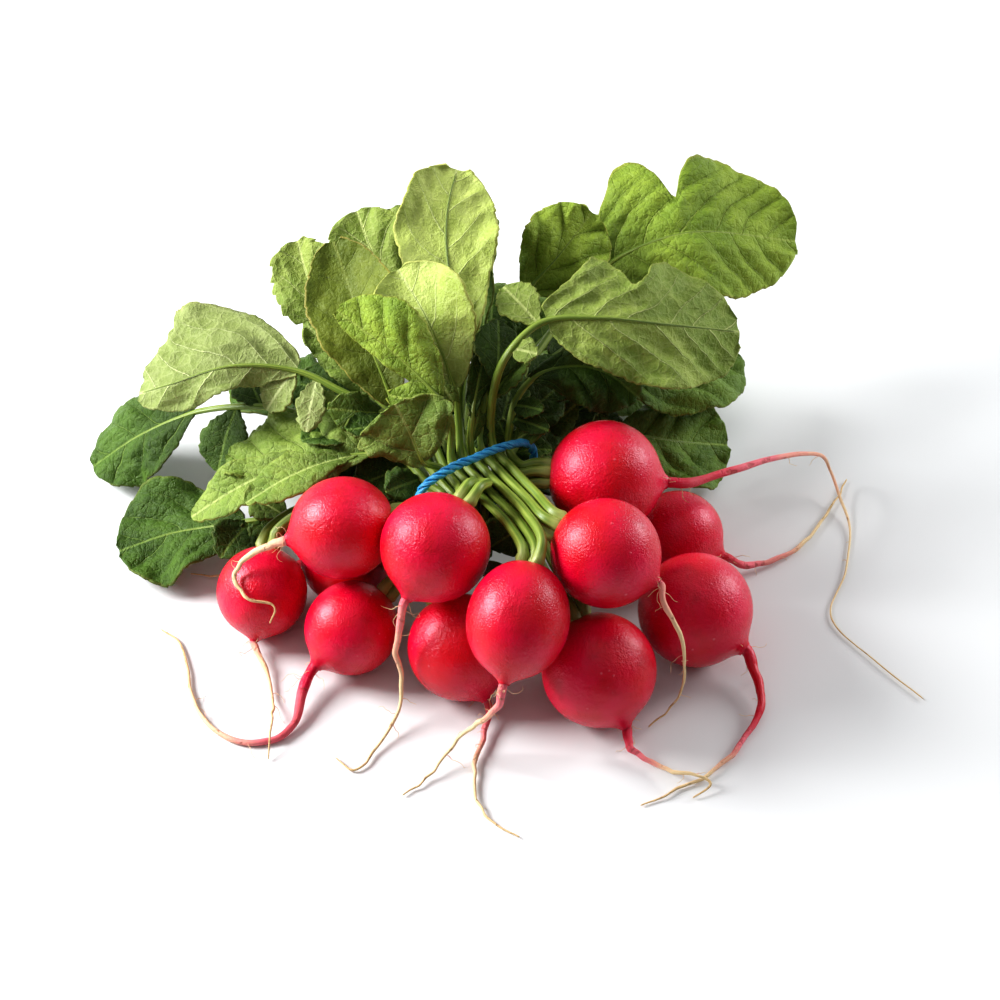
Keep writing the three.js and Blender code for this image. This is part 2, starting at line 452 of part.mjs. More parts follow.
// The leaf is drawn from its tip back to its foot: ten points round the blade, five round the stalk.
function leafRings(leaf, radish) {
  const points = leafRoute(leaf, radish);
  const route = new THREE.CatmullRomCurve3(points, false, 'centripetal');
  route.arcLengthDivisions = routeSteps;
  const lengths = route.getLengths();
  const total = lengths[lengths.length - 1];
  const startPoint = points.length - leaf.route.length + leaf.start;
  const startShare = lengths[Math.round((routeSteps * startPoint) / (points.length - 1))] / total;
  const face = vec(leaf.face).normalize();
  const rings = [];
  const steps = leaf.rings ?? bladeRings;
  for (let i = steps; i >= 0; i--) {
    const t = bladeFoot + (bladeEnd - bladeFoot) * (0.5 - 0.5 * Math.cos((Math.PI * i) / steps));
    const share = startShare + (1 - startShare) * t;
    const direction = route.getTangentAt(share);
    const sideways = new THREE.Vector3().crossVectors(direction, face).normalize();
    const normal = new THREE.Vector3().crossVectors(sideways, direction);
    const top = across.map((u) => {
      const width = bladeHalf(leaf, t, u);
      return route.getPointAt(share).addScaledVector(sideways, u * width)
        .addScaledVector(normal, bladeHeight(leaf, t, u, width));
    });
    const bottom = across.map((u, k) => {
      const depth = bladeThickness + (u === 0 ? ribDepth * (1 - t) : 0);
      return top[k].clone().addScaledVector(normal, -depth);
    });
    rings.push([...top, ...bottom.reverse()]);
  }
  for (let i = stalkRings - 1; i >= 0; i--) {
    const share = (startShare * i) / stalkRings;
    const direction = route.getTangentAt(share);
    const sideways = carried(new THREE.Vector3().crossVectors(direction, face), direction);
    const normal = new THREE.Vector3().crossVectors(sideways, direction);
    const radius = stalkRadius + (stalkTopRadius - stalkRadius) * (i / stalkRings) ** 2;
    rings.push(stalkAngles.map((angle) => route.getPointAt(share)
      .addScaledVector(sideways, radius * Math.cos(angle))
      .addScaledVector(normal, radius * Math.sin(angle))));
  }
  return rings;
}

// A leaflet grows from the stalk or rib: three points across, its foot sunk in the stalk.
function leafletSolid(leaf, leaflet, route, pointCount) {
  const foot = route.getPoint((pointCount - leaf.route.length + leaflet.at) / (pointCount - 1));
  const reach = vec(leaflet.tip).sub(foot);
  const direction = reach.clone().normalize();
  const sideways = new THREE.Vector3().crossVectors(direction, vec(leaf.face)).normalize();
  const normal = new THREE.Vector3().crossVectors(sideways, direction);
  const rings = [];
  for (let i = leafletRings; i >= 0; i--) {
    const t = (bladeEnd * i) / leafletRings;
    const width = Math.max(leaflet.half * Math.sin(Math.PI * t ** 1.1) ** bladeRoundness, leafletFoot);
    const rise = reach.length() * leafletArch * Math.sin(Math.PI * t);
    const rib = foot.clone().addScaledVector(reach, t).addScaledVector(normal, rise);
    const top = [1, 0, -1].map((u) => rib.clone().addScaledVector(sideways, u * width)
      .addScaledVector(normal, u === 0 ? -leafletFold * width : 0));
    const bottom = top.map((p, k) => p.clone()
      .addScaledVector(normal, -bladeThickness * (k === 1 ? leafletRib : 1)));
    rings.push([...top, ...bottom.reverse()]);
  }
  const { vertices, faces } = loftRings(rings, true);
  return toManifold(vertices, faces);
}

function leafSolid(leaf, radish) {
  const points = leafRoute(leaf, radish);
  const route = new THREE.CatmullRomCurve3(points, false, 'centripetal');
  const { vertices, faces } = loftRings(leafRings(leaf, radish), true);
  if (!leaf.leaflets) {
    return solid(leaf.name, vertices, faces, tones[leaf.tone], 0.6);
  }
  let body = toManifold(vertices, faces);
  leaf.leaflets.forEach((leaflet) => {
    body = body.add(leafletSolid(leaf, leaflet, route, points.length));
  });
  return fromManifold(leaf.name, body, tones[leaf.tone], 0.6);
}

function squared(value, power) {
  return Math.sign(value) * Math.abs(value) ** power;
}

// The tie: one cord of three twisted strands, closed round the bundle of stalks.
function tieBand() {
  const vertices = [];
  const faces = [];
  const sides = 6;
  for (let i = 0; i < tieSteps; i++) {
    const angle = (2 * Math.PI * i) / tieSteps;
    const wide = squared(Math.cos(angle), 2 / bundleSquareness);
    const high = squared(Math.sin(angle), 2 / bundleSquareness);
    const outward = tieAcross.clone()
      .multiplyScalar(squared(wide, bundleSquareness - 1) / bundleHalfWidth)
      .addScaledVector(tieUp, squared(high, bundleSquareness - 1) / bundleHalfHeight).normalize();
    const centre = tieCentre.clone().addScaledVector(tieAcross, bundleHalfWidth * wide)
      .addScaledVector(tieUp, bundleHalfHeight * high).addScaledVector(outward, tieStandOff);
    for (let k = 0; k < sides; k++) {
      const turn = (2 * Math.PI * k) / sides;
      const lobe = 1 + 0.22 * Math.cos(3 * turn + tieTurns * angle);
      vertices.push(...centre.clone().addScaledVector(outward, tieStrandRadius * lobe * Math.cos(turn))
        .addScaledVector(tieAlong, tieStrandRadius * 1.35 * lobe * Math.sin(turn)).toArray());
    }
  }
  for (let i = 0; i < tieSteps; i++) {
    for (let k = 0; k < sides; k++) {
      const a0 = i * sides + k;
      const a1 = i * sides + ((k + 1) % sides);
      const b0 = ((i + 1) % tieSteps) * sides + k;
      const b1 = ((i + 1) % tieSteps) * sides + ((k + 1) % sides);
      faces.push(a0, b1, b0, a0, a1, b1);
    }
  }
  return solid('tie', vertices, faces, 0x1a7498, 0.5);
}

const bunch = new THREE.Group();
radishes.forEach((radish, i) => {
  const own = leaves.filter((leaf) => leaf.from === i + 1);
  radish.slotMean = own.reduce((sum, leaf) => sum.add(slotOffset(leaf.slot)), new THREE.Vector2())
    .divideScalar(own.length);
  bunch.add(radishRoot(radish));
  own.forEach((leaf) => bunch.add(leafSolid(leaf, radish)));
});
bunch.add(tieBand());

export default bunch;
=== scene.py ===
import math
import bmesh
import bpy
import numpy as np
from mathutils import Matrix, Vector, noise


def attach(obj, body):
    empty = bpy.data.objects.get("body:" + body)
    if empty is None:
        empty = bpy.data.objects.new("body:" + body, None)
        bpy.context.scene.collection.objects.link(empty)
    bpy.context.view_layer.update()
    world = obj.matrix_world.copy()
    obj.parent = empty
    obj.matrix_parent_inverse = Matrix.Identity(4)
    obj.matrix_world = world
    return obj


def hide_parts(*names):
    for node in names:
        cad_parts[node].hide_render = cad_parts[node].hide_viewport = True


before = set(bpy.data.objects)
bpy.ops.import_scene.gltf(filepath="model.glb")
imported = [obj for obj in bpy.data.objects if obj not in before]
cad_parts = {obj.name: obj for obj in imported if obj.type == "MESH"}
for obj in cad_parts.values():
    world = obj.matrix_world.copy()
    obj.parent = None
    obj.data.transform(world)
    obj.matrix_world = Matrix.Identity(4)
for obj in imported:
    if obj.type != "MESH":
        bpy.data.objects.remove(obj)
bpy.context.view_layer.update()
print("bunch of radishes: packed frame loaded")

mm = 0.001
fullTurn = 2 * math.pi
mapTurn = 6.3    # a turn in the maps of thin hairs and strands
weld = {"merge": 1e-6, "leastArea": 1e-13, "leastEdge": 1e-7}


def unit(v):
    v = np.asarray(v, float)
    return v / np.maximum(np.linalg.norm(v, axis=-1, keepdims=True), 1e-12)


def fromScreen(r, g, b):
    # a colour given as 0 to 255, as light values
    out = []
    for c in (r, g, b):
        c = c / 255
        out.append(c / 12.92 if c <= 0.04045 else ((c + 0.055) / 1.055) ** 2.4)
    return (*out, 1.0)


# Curves through points: the same centripetal curve that the solids follow
curve = {"power": 0.25, "leastGap": 1e-4, "steps": 600, "probe": 1e-3}


def curvePoint(points, share):
    last = len(points) - 1
    place = np.clip(np.asarray(share, float), 0, 1) * last
    first = np.minimum(place.astype(int), last - 1)
    w = (place - first)[:, None]
    p1, p2 = points[first], points[first + 1]
    p0 = np.where((first > 0)[:, None], points[np.maximum(first - 1, 0)], 2 * points[0] - points[1])
    p3 = np.where((first + 2 <= last)[:, None], points[np.minimum(first + 2, last)],
                  2 * points[last] - points[last - 1])

    def gap(a, b):
        return np.maximum(((a - b) ** 2).sum(1) ** curve["power"], curve["leastGap"])[:, None]

    d0, d1, d2 = gap(p0, p1), gap(p1, p2), gap(p2, p3)
    m1 = ((p1 - p0) / d0 - (p2 - p0) / (d0 + d1) + (p2 - p1) / d1) * d1
    m2 = ((p2 - p1) / d1 - (p3 - p1) / (d1 + d2) + (p3 - p2) / d2) * d1
    return p1 + m1 * w + (3 * p2 - 3 * p1 - 2 * m1 - m2) * w ** 2 + (2 * p1 - 2 * p2 + m1 + m2) * w ** 3


class Route:
    # A curve read by its share of length, from 0 to 1
    def __init__(self, points, steps=curve["steps"]):
        self.points = np.array([list(p) for p in points], float)
        self.shares = np.linspace(0, 1, steps + 1)
        spots = curvePoint(self.points, self.shares)
        hops = np.linalg.norm(np.diff(spots, axis=0), axis=1)
        self.lengths = np.concatenate([[0], np.cumsum(hops)])
        self.total = self.lengths[-1]

    def toShare(self, part):
        return np.interp(np.asarray(part, float) * self.total, self.lengths, self.shares)

    def at(self, part):
        return curvePoint(self.points, self.toShare(np.atleast_1d(part)))

    def direction(self, part):
        share = self.toShare(np.atleast_1d(part))
        return unit(curvePoint(self.points, np.minimum(share + curve["probe"], 1))
                    - curvePoint(self.points, np.maximum(share - curve["probe"], 0)))

    def partOfPoint(self, index):
        return float(np.interp(index / (len(self.points) - 1), self.shares, self.lengths)) / self.total


def carriedSides(directions, firstSide):
    # A pair of side directions along a curve that doesn't twist
    sides = []
    side = np.asarray(firstSide, float)
    for d in directions:
        side = unit(side - d * np.dot(side, d))
        sides.append(side)
    sides = np.array(sides)
    return sides, np.cross(directions, sides)


# A grid of points is made first, with each point's place across (-1 to 1) and its row, then every point goes
# to its place by formula
def gridPoints(columns, rows):
    bm = bmesh.new()
    bmesh.ops.create_grid(bm, x_segments=columns, y_segments=rows, size=1.0)
    mesh = bpy.data.meshes.new("grid")
    bm.to_mesh(mesh)
    bm.free()
    flat = np.empty(len(mesh.vertices) * 3)
    mesh.vertices.foreach_get("co", flat)
    return mesh, flat[0::3].copy(), np.rint((flat[1::3] + 1) / 2 * rows).astype(int)


def addSheet(bm, mesh, spots, maps, materialIndex=0):
    # spots in millimetres; maps are pairs of values for each point, one pair for each named map
    mesh.vertices.foreach_set("co", (np.asarray(spots) * mm).ravel())
    corner = np.empty(len(mesh.loops), int)
    mesh.loops.foreach_get("vertex_index", corner)
    for name, values in maps.items():
        layer = mesh.uv_layers.new(name=name)
        layer.data.foreach_set("uv", (values if len(values) == len(corner) else values[corner]).ravel())
    mesh.polygons.foreach_set("material_index", np.full(len(mesh.polygons), materialIndex))
    bm.from_mesh(mesh)
    bpy.data.meshes.remove(mesh)


def tubeSheet(bm, route, parts, radii, sides, mapName, mapAt, firstSide=(0, 0, 1), shape=None, floor=None,
              shift=None):
    # A tube along a route: radii for each part, drawn to a point where a radius is 0
    mesh, u, row = gridPoints(sides, len(parts) - 1)
    spots, directions = route.at(parts), route.direction(parts)
    a, b = carriedSides(directions, firstSide)
    if shift is not None:
        spots = spots + shift
    if floor is not None:
        spots[:, 2] = np.maximum(spots[:, 2], radii + floor)
    angle = (u + 1) * math.pi
    radius = radii[row]
    if shape is not None:
        radius = radius * shape(angle)
    out = (spots[row] + a[row] * (radius * np.cos(angle))[:, None]
           + b[row] * (radius * np.sin(angle))[:, None])
    addSheet(bm, mesh, out, {mapName: mapAt(angle, row)})


def finishPiece(name, bm, materials, nodes):
    bmesh.ops.remove_doubles(bm, verts=bm.verts, dist=weld["merge"])
    if any(face.calc_area() < weld["leastArea"] for face in bm.faces):
        bmesh.ops.dissolve_degenerate(bm, edges=bm.edges, dist=weld["leastEdge"])
    mesh = bpy.data.meshes.new(name)
    bm.to_mesh(mesh)
    bm.free()
    mesh.shade_smooth()
    for material in materials:
        mesh.materials.append(material)
    piece = bpy.data.objects.new(name, mesh)
    bpy.context.collection.objects.link(piece)
    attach(piece, "root")
    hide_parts(*nodes)
    return piece


# Materials
def feed(tree, value, socket):
    if isinstance(value, bpy.types.NodeSocket):
        tree.links.new(value, socket)
    else:
        socket.default_value = value


def node(tree, kind, links=None, **settings):
    made = tree.nodes.new(kind)
    for key, value in settings.items():
        setattr(made, key, value)
    for key, value in (links or {}).items():
        feed(tree, value, made.inputs[key])
    return made


def sums(tree, operation, a, b=None):
    made = node(tree, "ShaderNodeMath", {0: a}, operation=operation)
    if b is not None:
        feed(tree, b, made.inputs[1])
    return made.outputs[0]


def times(tree, a, b):
    return sums(tree, "MULTIPLY", a, b)


def plus(tree, a, b):
    return sums(tree, "ADD", a, b)


def minus(tree, a, b):
    return sums(tree, "SUBTRACT", a, b)


def ramp(tree, value, low, high, toLow=0.0, toHigh=1.0, kind="SMOOTHSTEP"):
    return node(tree, "ShaderNodeMapRange", {"Value": value, "From Min": low, "From Max": high,
                                             "To Min": toLow, "To Max": toHigh},
                interpolation_type=kind).outputs[0]


def blend(tree, share, a, b):
    # the colour mix node's sockets: share, then the two colours
    return node(tree, "ShaderNodeMix", {0: share, 6: a, 7: b}, data_type="RGBA").outputs[2]


def speckle(tree, vector, scale, detail=3.0, roughness=0.55):
    return node(tree, "ShaderNodeTexNoise", {"Vector": vector, "Scale": scale, "Detail": detail,
                                             "Roughness": roughness}).outputs[0]


def patches(tree, vector, grain):
    # grain: scale, detail and roughness, then the values where a patch starts and where it is full
    return ramp(tree, speckle(tree, vector, *grain[:3]), *grain[3:])


def scaled(tree, vector, scale):
    return node(tree, "ShaderNodeMapping", {"Vector": vector, "Scale": scale}).outputs[0]


def splitMap(tree, vector):
    parts = node(tree, "ShaderNodeSeparateXYZ", {"Vector": vector}).outputs
    return parts["X"], parts["Y"]


def newMaterial(name):
    material = bpy.data.materials.new(name)
    material.use_nodes = True
    tree = material.node_tree
    return material, tree, tree.nodes["Principled BSDF"].inputs


def ownMap(tree, name):
    return node(tree, "ShaderNodeUVMap", uv_map=name).outputs[0]


def objectPlace(tree):
    return node(tree, "ShaderNodeTexCoord").outputs["Object"]


def bumped(tree, height, strength, depth, under=None):
    links = {"Height": height, "Strength": strength, "Distance": depth}
    if under is not None:
        links["Normal"] = under
    return node(tree, "ShaderNodeBump", links).outputs[0]


# among these widths: the reach of the painted shade next to each side vein
veinLook = {"drift": (1.3, 2.0), "thin": 0.495, "thick": (0.455, 0.486), "fade": (0.62, 1.0, 1.0, 0.15),
            "paintedVeinShade": (0.3, 0.5), "warpScale": 2.4, "warp": 0.11, "quilt": (0.0, 0.42),
            "midrib": (0.012, 0.06, 1.0, 0.0), "edge": (0.955, 0.99)}
netLooks = (("Net", 1.0, 0.1), ("Fine Net", 2.9, 0.14))    # name, scale, width of a line


def makeLeafVeins():
    # Side veins from the "veins" map (count of veins, share of width) and a net from the "span" map (cm)
    tree = bpy.data.node_groups.new("leafVeins", "ShaderNodeTree")
    for label, kind in (("Veins", "Vector"), ("Span", "Vector"), ("Net Scale", "Float"),
                        ("Wander", "Float")):
        tree.interface.new_socket(label, in_out="INPUT", socket_type="NodeSocket" + kind)
    for label in ("Side Veins", "Net", "Midrib", "Fine Net", "Edge", "Quilt", "Painted Vein Shade"):
        tree.interface.new_socket(label, in_out="OUTPUT", socket_type="NodeSocketFloat")
    given, out = tree.nodes.new("NodeGroupInput").outputs, tree.nodes.new("NodeGroupOutput").inputs
    along, aside = splitMap(tree, given["Veins"])
    across = splitMap(tree, given["Span"])[0]
    drift = minus(tree, speckle(tree, given["Span"], *veinLook["drift"]), 0.5)
    count = plus(tree, along, times(tree, drift, given["Wander"]))
    near = sums(tree, "ABSOLUTE", minus(tree, sums(tree, "FRACT", count), 0.5))    # 0.5 on a vein
    edge = sums(tree, "ABSOLUTE", aside)
    thick = ramp(tree, edge, 0.0, 1.0, *veinLook["thick"], kind="LINEAR")
    side = ramp(tree, near, thick, veinLook["thin"])
    feed(tree, times(tree, side, ramp(tree, edge, *veinLook["fade"])), out["Side Veins"])
    # painted shade: a mask next to each side vein, where the blade dips into the vein
    feed(tree, ramp(tree, near, *veinLook["paintedVeinShade"]), out["Painted Vein Shade"])
    warp = node(tree, "ShaderNodeTexNoise", {"Vector": given["Span"], "Scale": veinLook["warpScale"]})
    warped = node(tree, "ShaderNodeMix", {0: veinLook["warp"], 4: given["Span"], 5: warp.outputs["Color"]},
                  data_type="VECTOR").outputs[1]
    for label, scale, wide in netLooks:
        cells = node(tree, "ShaderNodeTexVoronoi", {
            "Vector": warped, "Scale": times(tree, given["Net Scale"], scale)},
            feature="DISTANCE_TO_EDGE").outputs["Distance"]
        feed(tree, ramp(tree, cells, 0.0, wide, 1.0, 0.0), out[label])
        if label == "Net":
            feed(tree, ramp(tree, cells, *veinLook["quilt"]), out["Quilt"])
    feed(tree, ramp(tree, sums(tree, "ABSOLUTE", across), *veinLook["midrib"]), out["Midrib"])
    feed(tree, ramp(tree, edge, *veinLook["edge"]), out["Edge"])
    return tree


# Each tone: blade, its patches (also the painted shade next to the veins) and veins; how strongly side
# veins, the net, the edge and the painted shade at the foot show; roughness; veins raised (above 0) or
# sunken (below 0)
leafTones = {
    "pale": {"blade": (142, 154, 94), "patch": (114, 130, 62), "vein": (202, 212, 150), "side": 0.8,
             "net": 0.16, "rough": 0.58, "raised": 0.7, "foot": 0.1},
    "lime": {"blade": (192, 206, 116), "patch": (152, 171, 76), "vein": (204, 214, 144), "side": 0.7,
             "edge": 0.3, "net": 0.16, "rough": 0.5, "raised": 0.35},
    "soft": {"blade": (148, 164, 80), "patch": (108, 130, 50), "vein": (194, 204, 132), "side": 0.7,
             "net": 0.16, "rough": 0.56, "raised": 0.7, "foot": 0.3},
    "light": {"blade": (140, 160, 74), "patch": (98, 124, 46), "vein": (180, 194, 116), "side": 0.4,
              "net": 0.14, "rough": 0.5, "raised": -1.0},
    "bright": {"blade": (154, 177, 66), "patch": (111, 138, 44), "vein": (162, 180, 84), "side": 0.5,
               "edge": 0.3, "net": 0.1, "rough": 0.5, "raised": -1.0},
    "mid": {"blade": (110, 138, 54), "patch": (72, 100, 34), "vein": (148, 172, 84), "side": 0.45,
            "net": 0.1, "rough": 0.48, "raised": -1.0},
    "olive": {"blade": (124, 136, 48), "patch": (88, 104, 34), "vein": (136, 146, 70), "side": 0.35,
              "edge": 0.5, "net": 0.03, "rough": 0.46, "raised": -0.35},
    "dark": {"blade": (80, 110, 38), "patch": (48, 73, 21), "vein": (122, 148, 70), "side": 0.5,
             "net": 0.1, "rough": 0.5, "raised": -1.0},
}
leafLook = {"edge": (176, 158, 84), "netScale": 2.9, "netStep": 0.2, "wander": 0.22,
            "broad": (34.0, 3.0, 0.6, 0.36, 0.62), "cloud": (130.0, 4.0, 0.6, 0.34, 0.66),
            "fine": (1100.0, 3.0, 0.7, 0.3, 0.75), "broadShare": 0.6, "cloudShare": 0.4, "fineShare": 0.2,
            # painted shade: its strength next to the veins, then its reach and depth at the foot of the
            # blade
            "paintedVeinShade": 0.35, "footReach": (0.2, 2.6), "footPaintedShade": 0.7, "fineNet": 0.6, "midrib": 0.65,
            "smoother": 0.08, "rougher": 0.1, "specular": 0.2, "bold": (0.7, 0.0009),
            "small": (0.7, 0.00035), "netHeight": 0.15, "veinHeight": 0.8, "quiltHeight": 0.32,
            "grainHeight": 0.6, "fineHeight": 0.4}


def leafMaterial(tone, veinGroup, seed):
    look = {"edge": 0.12, "foot": 0.6, **leafTones[tone]}
    blade, patch, vein = (fromScreen(*look[key]) for key in ("blade", "patch", "vein"))
    material, tree, surface = newMaterial(tone + "Blade")
    span = ownMap(tree, "span")
    place = objectPlace(tree)
    pattern = node(tree, "ShaderNodeGroup", node_tree=veinGroup)
    for label, value in (("Veins", ownMap(tree, "veins")), ("Span", span), ("Wander", leafLook["wander"]),
                         ("Net Scale", leafLook["netScale"] + leafLook["netStep"] * seed)):
        feed(tree, value, pattern.inputs[label])

    def share(output, amount):
        return times(tree, pattern.outputs[output], amount)

    broad, cloud, fine = (patches(tree, place, leafLook[key]) for key in ("broad", "cloud", "fine"))
    mottled = plus(tree, times(tree, broad, leafLook["broadShare"]),
                   times(tree, cloud, leafLook["cloudShare"]))
    # painted shade: a darker green near the foot of the blade
    paintedShadeAtFoot = ramp(tree, splitMap(tree, span)[1], *leafLook["footReach"], look["foot"], 0.0)
    paintedFootShade = fromScreen(*[leafLook["footPaintedShade"] * part for part in look["patch"]])
    colour = blend(tree, mottled, patch, blade)
    for amount, over in ((times(tree, fine, leafLook["fineShare"]), patch),
                         # painted shade: the patch colour next to the side veins, and the darker green at
                         # the foot of the blade
                         (share("Painted Vein Shade", leafLook["paintedVeinShade"]), patch), (paintedShadeAtFoot, paintedFootShade),
                         (share("Fine Net", look["net"] * leafLook["fineNet"]), vein),
                         (share("Net", look["net"]), vein), (share("Side Veins", look["side"]), vein),
                         (share("Midrib", leafLook["midrib"]), vein),
                         (share("Edge", look["edge"]), fromScreen(*leafLook["edge"]))):
        colour = blend(tree, amount, colour, over)
    feed(tree, colour, surface["Base Color"])
    feed(tree, ramp(tree, fine, 0.0, 1.0, look["rough"] - leafLook["smoother"],
                    look["rough"] + leafLook["rougher"]), surface["Roughness"])
    surface["Specular IOR Level"].default_value = leafLook["specular"]
    # relief in two depths: veins and quilting, then a fine grain
    relief = plus(tree, share("Net", leafLook["netHeight"]), share("Side Veins", leafLook["veinHeight"]))
    relief = times(tree, minus(tree, relief, share("Quilt", leafLook["quiltHeight"])), look["raised"])
    grain = plus(tree, times(tree, fine, leafLook["grainHeight"]),
                 share("Fine Net", leafLook["fineHeight"] * look["raised"]))
    bold = bumped(tree, relief, *leafLook["bold"])
    feed(tree, bumped(tree, grain, *leafLook["small"], bold), surface["Normal"])
    return material


stalkLook = {"pale": (160, 176, 76), "green": (96, 122, 38), "foot": (168, 174, 104),
             "stretch": (9.0, 1.6, 1.0), "streak": (1.0, 4.0, 0.6, 0.35, 0.7),
             "cloud": (110.0, 3.0, 0.55, 0.35, 0.65), "cloudShare": 0.35,
             "footReach": (0.0, 0.06, 0.5, 0.0), "rough": 0.4, "bump": (0.5, 0.0003)}


def makeStalkMaterial():
    material, tree, surface = newMaterial("leafStalk")
    pale, green, foot = (fromScreen(*stalkLook[key]) for key in ("pale", "green", "foot"))
    # the "span" map gives the turn round the stalk, and the share of the way to the blade
    along = ownMap(tree, "span")
    streak = patches(tree, scaled(tree, along, stalkLook["stretch"]), stalkLook["streak"])
    cloud = patches(tree, objectPlace(tree), stalkLook["cloud"])
    colour = blend(tree, streak, green, pale)
    colour = blend(tree, times(tree, cloud, stalkLook["cloudShare"]), colour, green)
    colour = blend(tree, ramp(tree, splitMap(tree, along)[1], *stalkLook["footReach"]), colour, foot)
    feed(tree, colour, surface["Base Color"])
    surface["Roughness"].default_value = stalkLook["rough"]
    feed(tree, bumped(tree, streak, *stalkLook["bump"]), surface["Normal"])
    return material


rootLook = {"skin": (200, 6, 24), "deep": (150, 3, 14), "rosy": (214, 10, 60), "pale": (236, 112, 128),
            "tailPink": (232, 116, 126), "tailCream": (236, 210, 162), "tailTan": (214, 182, 128),
            "mark": (142, 78, 56), "shine": (0.9, 0.8, 1.0, 1.0)}
rootGrain = {"cloud": (55.0, 3.0, 0.55, 0.3, 0.7), "darker": (130.0, 4.0, 0.6, 0.5, 0.78), "darkShare": 0.4,
             "streaks": (46.0, 3.0, 1.0), "streak": (1.0, 3.0, 0.6, 0.55, 0.75), "streakShare": 0.3,
             "atCrown": (0.0, 0.22, 1.0, 0.1), "atNeck": (0.82, 1.0, 0.05, 0.7),
             "pores": 420.0, "poreReach": (0.1, 0.24, 1.0, 0.0), "poreShare": 0.42,
             "sparse": (160.0, 2.0, 0.55, 0.56, 0.66), "wander": (90.0, 3.0), "wanderShare": 0.35,
             "pink": (1.03, 1.3), "cream": (1.25, 1.6), "tan": (1.6, 1.98), "marks": (1.6, 36.0, 1.0),
             "mark": (1.0, 2.0, 0.55, 0.6, 0.68), "tailFrom": (0.99, 1.04), "markShare": 0.4,
             "rough": (1.0, 1.15, 0.26, 0.55), "coat": (1.0, 1.1, 0.12, 0.0), "coatRough": 0.24,
             "specular": 0.36, "pucker": (760.0, 4.0, 0.6),
             "puckerPlaces": (75.0, 2.0, 0.55, 0.38, 0.62, 0.25, 1.0), "poreHeight": 0.35,
             "fine": (1900.0, 2.0, 0.6), "fineHeight": 0.5, "streakHeight": 0.5,
             "bump": (0.6, 0.0007)}


def makeRootMaterial():
    # The "skin" map gives the turn round the root, and 0 at the crown to 1 at the neck, 1 to 2 on the tail
    material, tree, surface = newMaterial("radishSkin")
    hue = {key: fromScreen(*value) for key, value in rootLook.items() if key != "shine"}
    skinMap = ownMap(tree, "skin")
    reach = splitMap(tree, skinMap)[1]
    place = objectPlace(tree)
    darker = patches(tree, place, rootGrain["darker"])
    # fine pale streaks that run from crown to neck, strongest near both ends
    streak = patches(tree, scaled(tree, skinMap, rootGrain["streaks"]), rootGrain["streak"])
    ends = sums(tree, "MAXIMUM", ramp(tree, reach, *rootGrain["atCrown"]),
                ramp(tree, reach, *rootGrain["atNeck"]))
    # small pale pores and scuffs
    pores = node(tree, "ShaderNodeTexVoronoi", {"Vector": place, "Scale": rootGrain["pores"]})
    pore = times(tree, ramp(tree, pores.outputs["Distance"], *rootGrain["poreReach"]),
                 patches(tree, place, rootGrain["sparse"]))
    # the tail pales from red through pink to cream and tan, with short brown marks across it
    wander = minus(tree, speckle(tree, place, *rootGrain["wander"]), 0.5)
    on = plus(tree, reach, times(tree, wander, rootGrain["wanderShare"]))
    mark = times(tree, patches(tree, scaled(tree, skinMap, rootGrain["marks"]), rootGrain["mark"]),
                 ramp(tree, reach, *rootGrain["tailFrom"]))
    colour = blend(tree, patches(tree, place, rootGrain["cloud"]), hue["skin"], hue["rosy"])
    for amount, over in ((times(tree, darker, rootGrain["darkShare"]), "deep"),
                         (times(tree, streak, times(tree, ends, rootGrain["streakShare"])), "pale"),
                         (times(tree, pore, rootGrain["poreShare"]), "pale"),
                         (ramp(tree, on, *rootGrain["pink"]), "tailPink"),
                         (ramp(tree, on, *rootGrain["cream"]), "tailCream"),
                         (ramp(tree, on, *rootGrain["tan"]), "tailTan"),
                         (times(tree, mark, rootGrain["markShare"]), "mark")):
        colour = blend(tree, amount, colour, hue[over])
    feed(tree, colour, surface["Base Color"])
    feed(tree, ramp(tree, reach, *rootGrain["rough"]), surface["Roughness"])
    feed(tree, ramp(tree, reach, *rootGrain["coat"]), surface["Coat Weight"])
    surface["Coat Roughness"].default_value = rootGrain["coatRough"]
    surface["Specular IOR Level"].default_value = rootGrain["specular"]
    surface["Specular Tint"].default_value = rootLook["shine"]
    # skin wrinkles: small puckers in patches, pores, a fine grain, and the streaks near both ends
    height = times(tree, speckle(tree, place, *rootGrain["pucker"]),
                   patches(tree, place, rootGrain["puckerPlaces"]))
    for part in (times(tree, pore, rootGrain["poreHeight"]),
                 times(tree, speckle(tree, place, *rootGrain["fine"]), rootGrain["fineHeight"]),
                 times(tree, streak, times(tree, ends, rootGrain["streakHeight"]))):
        height = plus(tree, height, part)
    feed(tree, bumped(tree, minus(tree, height, mark), *rootGrain["bump"]), surface["Normal"])
    return material


tieLook = {"deep": (10, 122, 196), "bright": (84, 192, 238), "stretch": (5.0, 40.0, 1.0),
           "fibre": (1.0, 4.0, 0.65, 0.3, 0.72), "rough": 0.34, "bump": (0.6, 0.0003)}


def makeTieMaterial():
    material, tree, surface = newMaterial("blueTie")
    fibre = patches(tree, scaled(tree, ownMap(tree, "strand"), tieLook["stretch"]), tieLook["fibre"])
    colour = blend(tree, fibre, fromScreen(*tieLook["deep"]), fromScreen(*tieLook["bright"]))
    feed(tree, colour, surface["Base Color"])
    surface["Roughness"].default_value = tieLook["rough"]
    feed(tree, bumped(tree, fibre, *tieLook["bump"]), surface["Normal"])
    return material


veinGroup = makeLeafVeins()
rootMaterial = makeRootMaterial()
stalkMaterial = makeStalkMaterial()
tieMaterial = makeTieMaterial()
bladeMaterials = {tone: leafMaterial(tone, veinGroup, seed) for seed, tone in enumerate(leafTones)}
print("materials made")


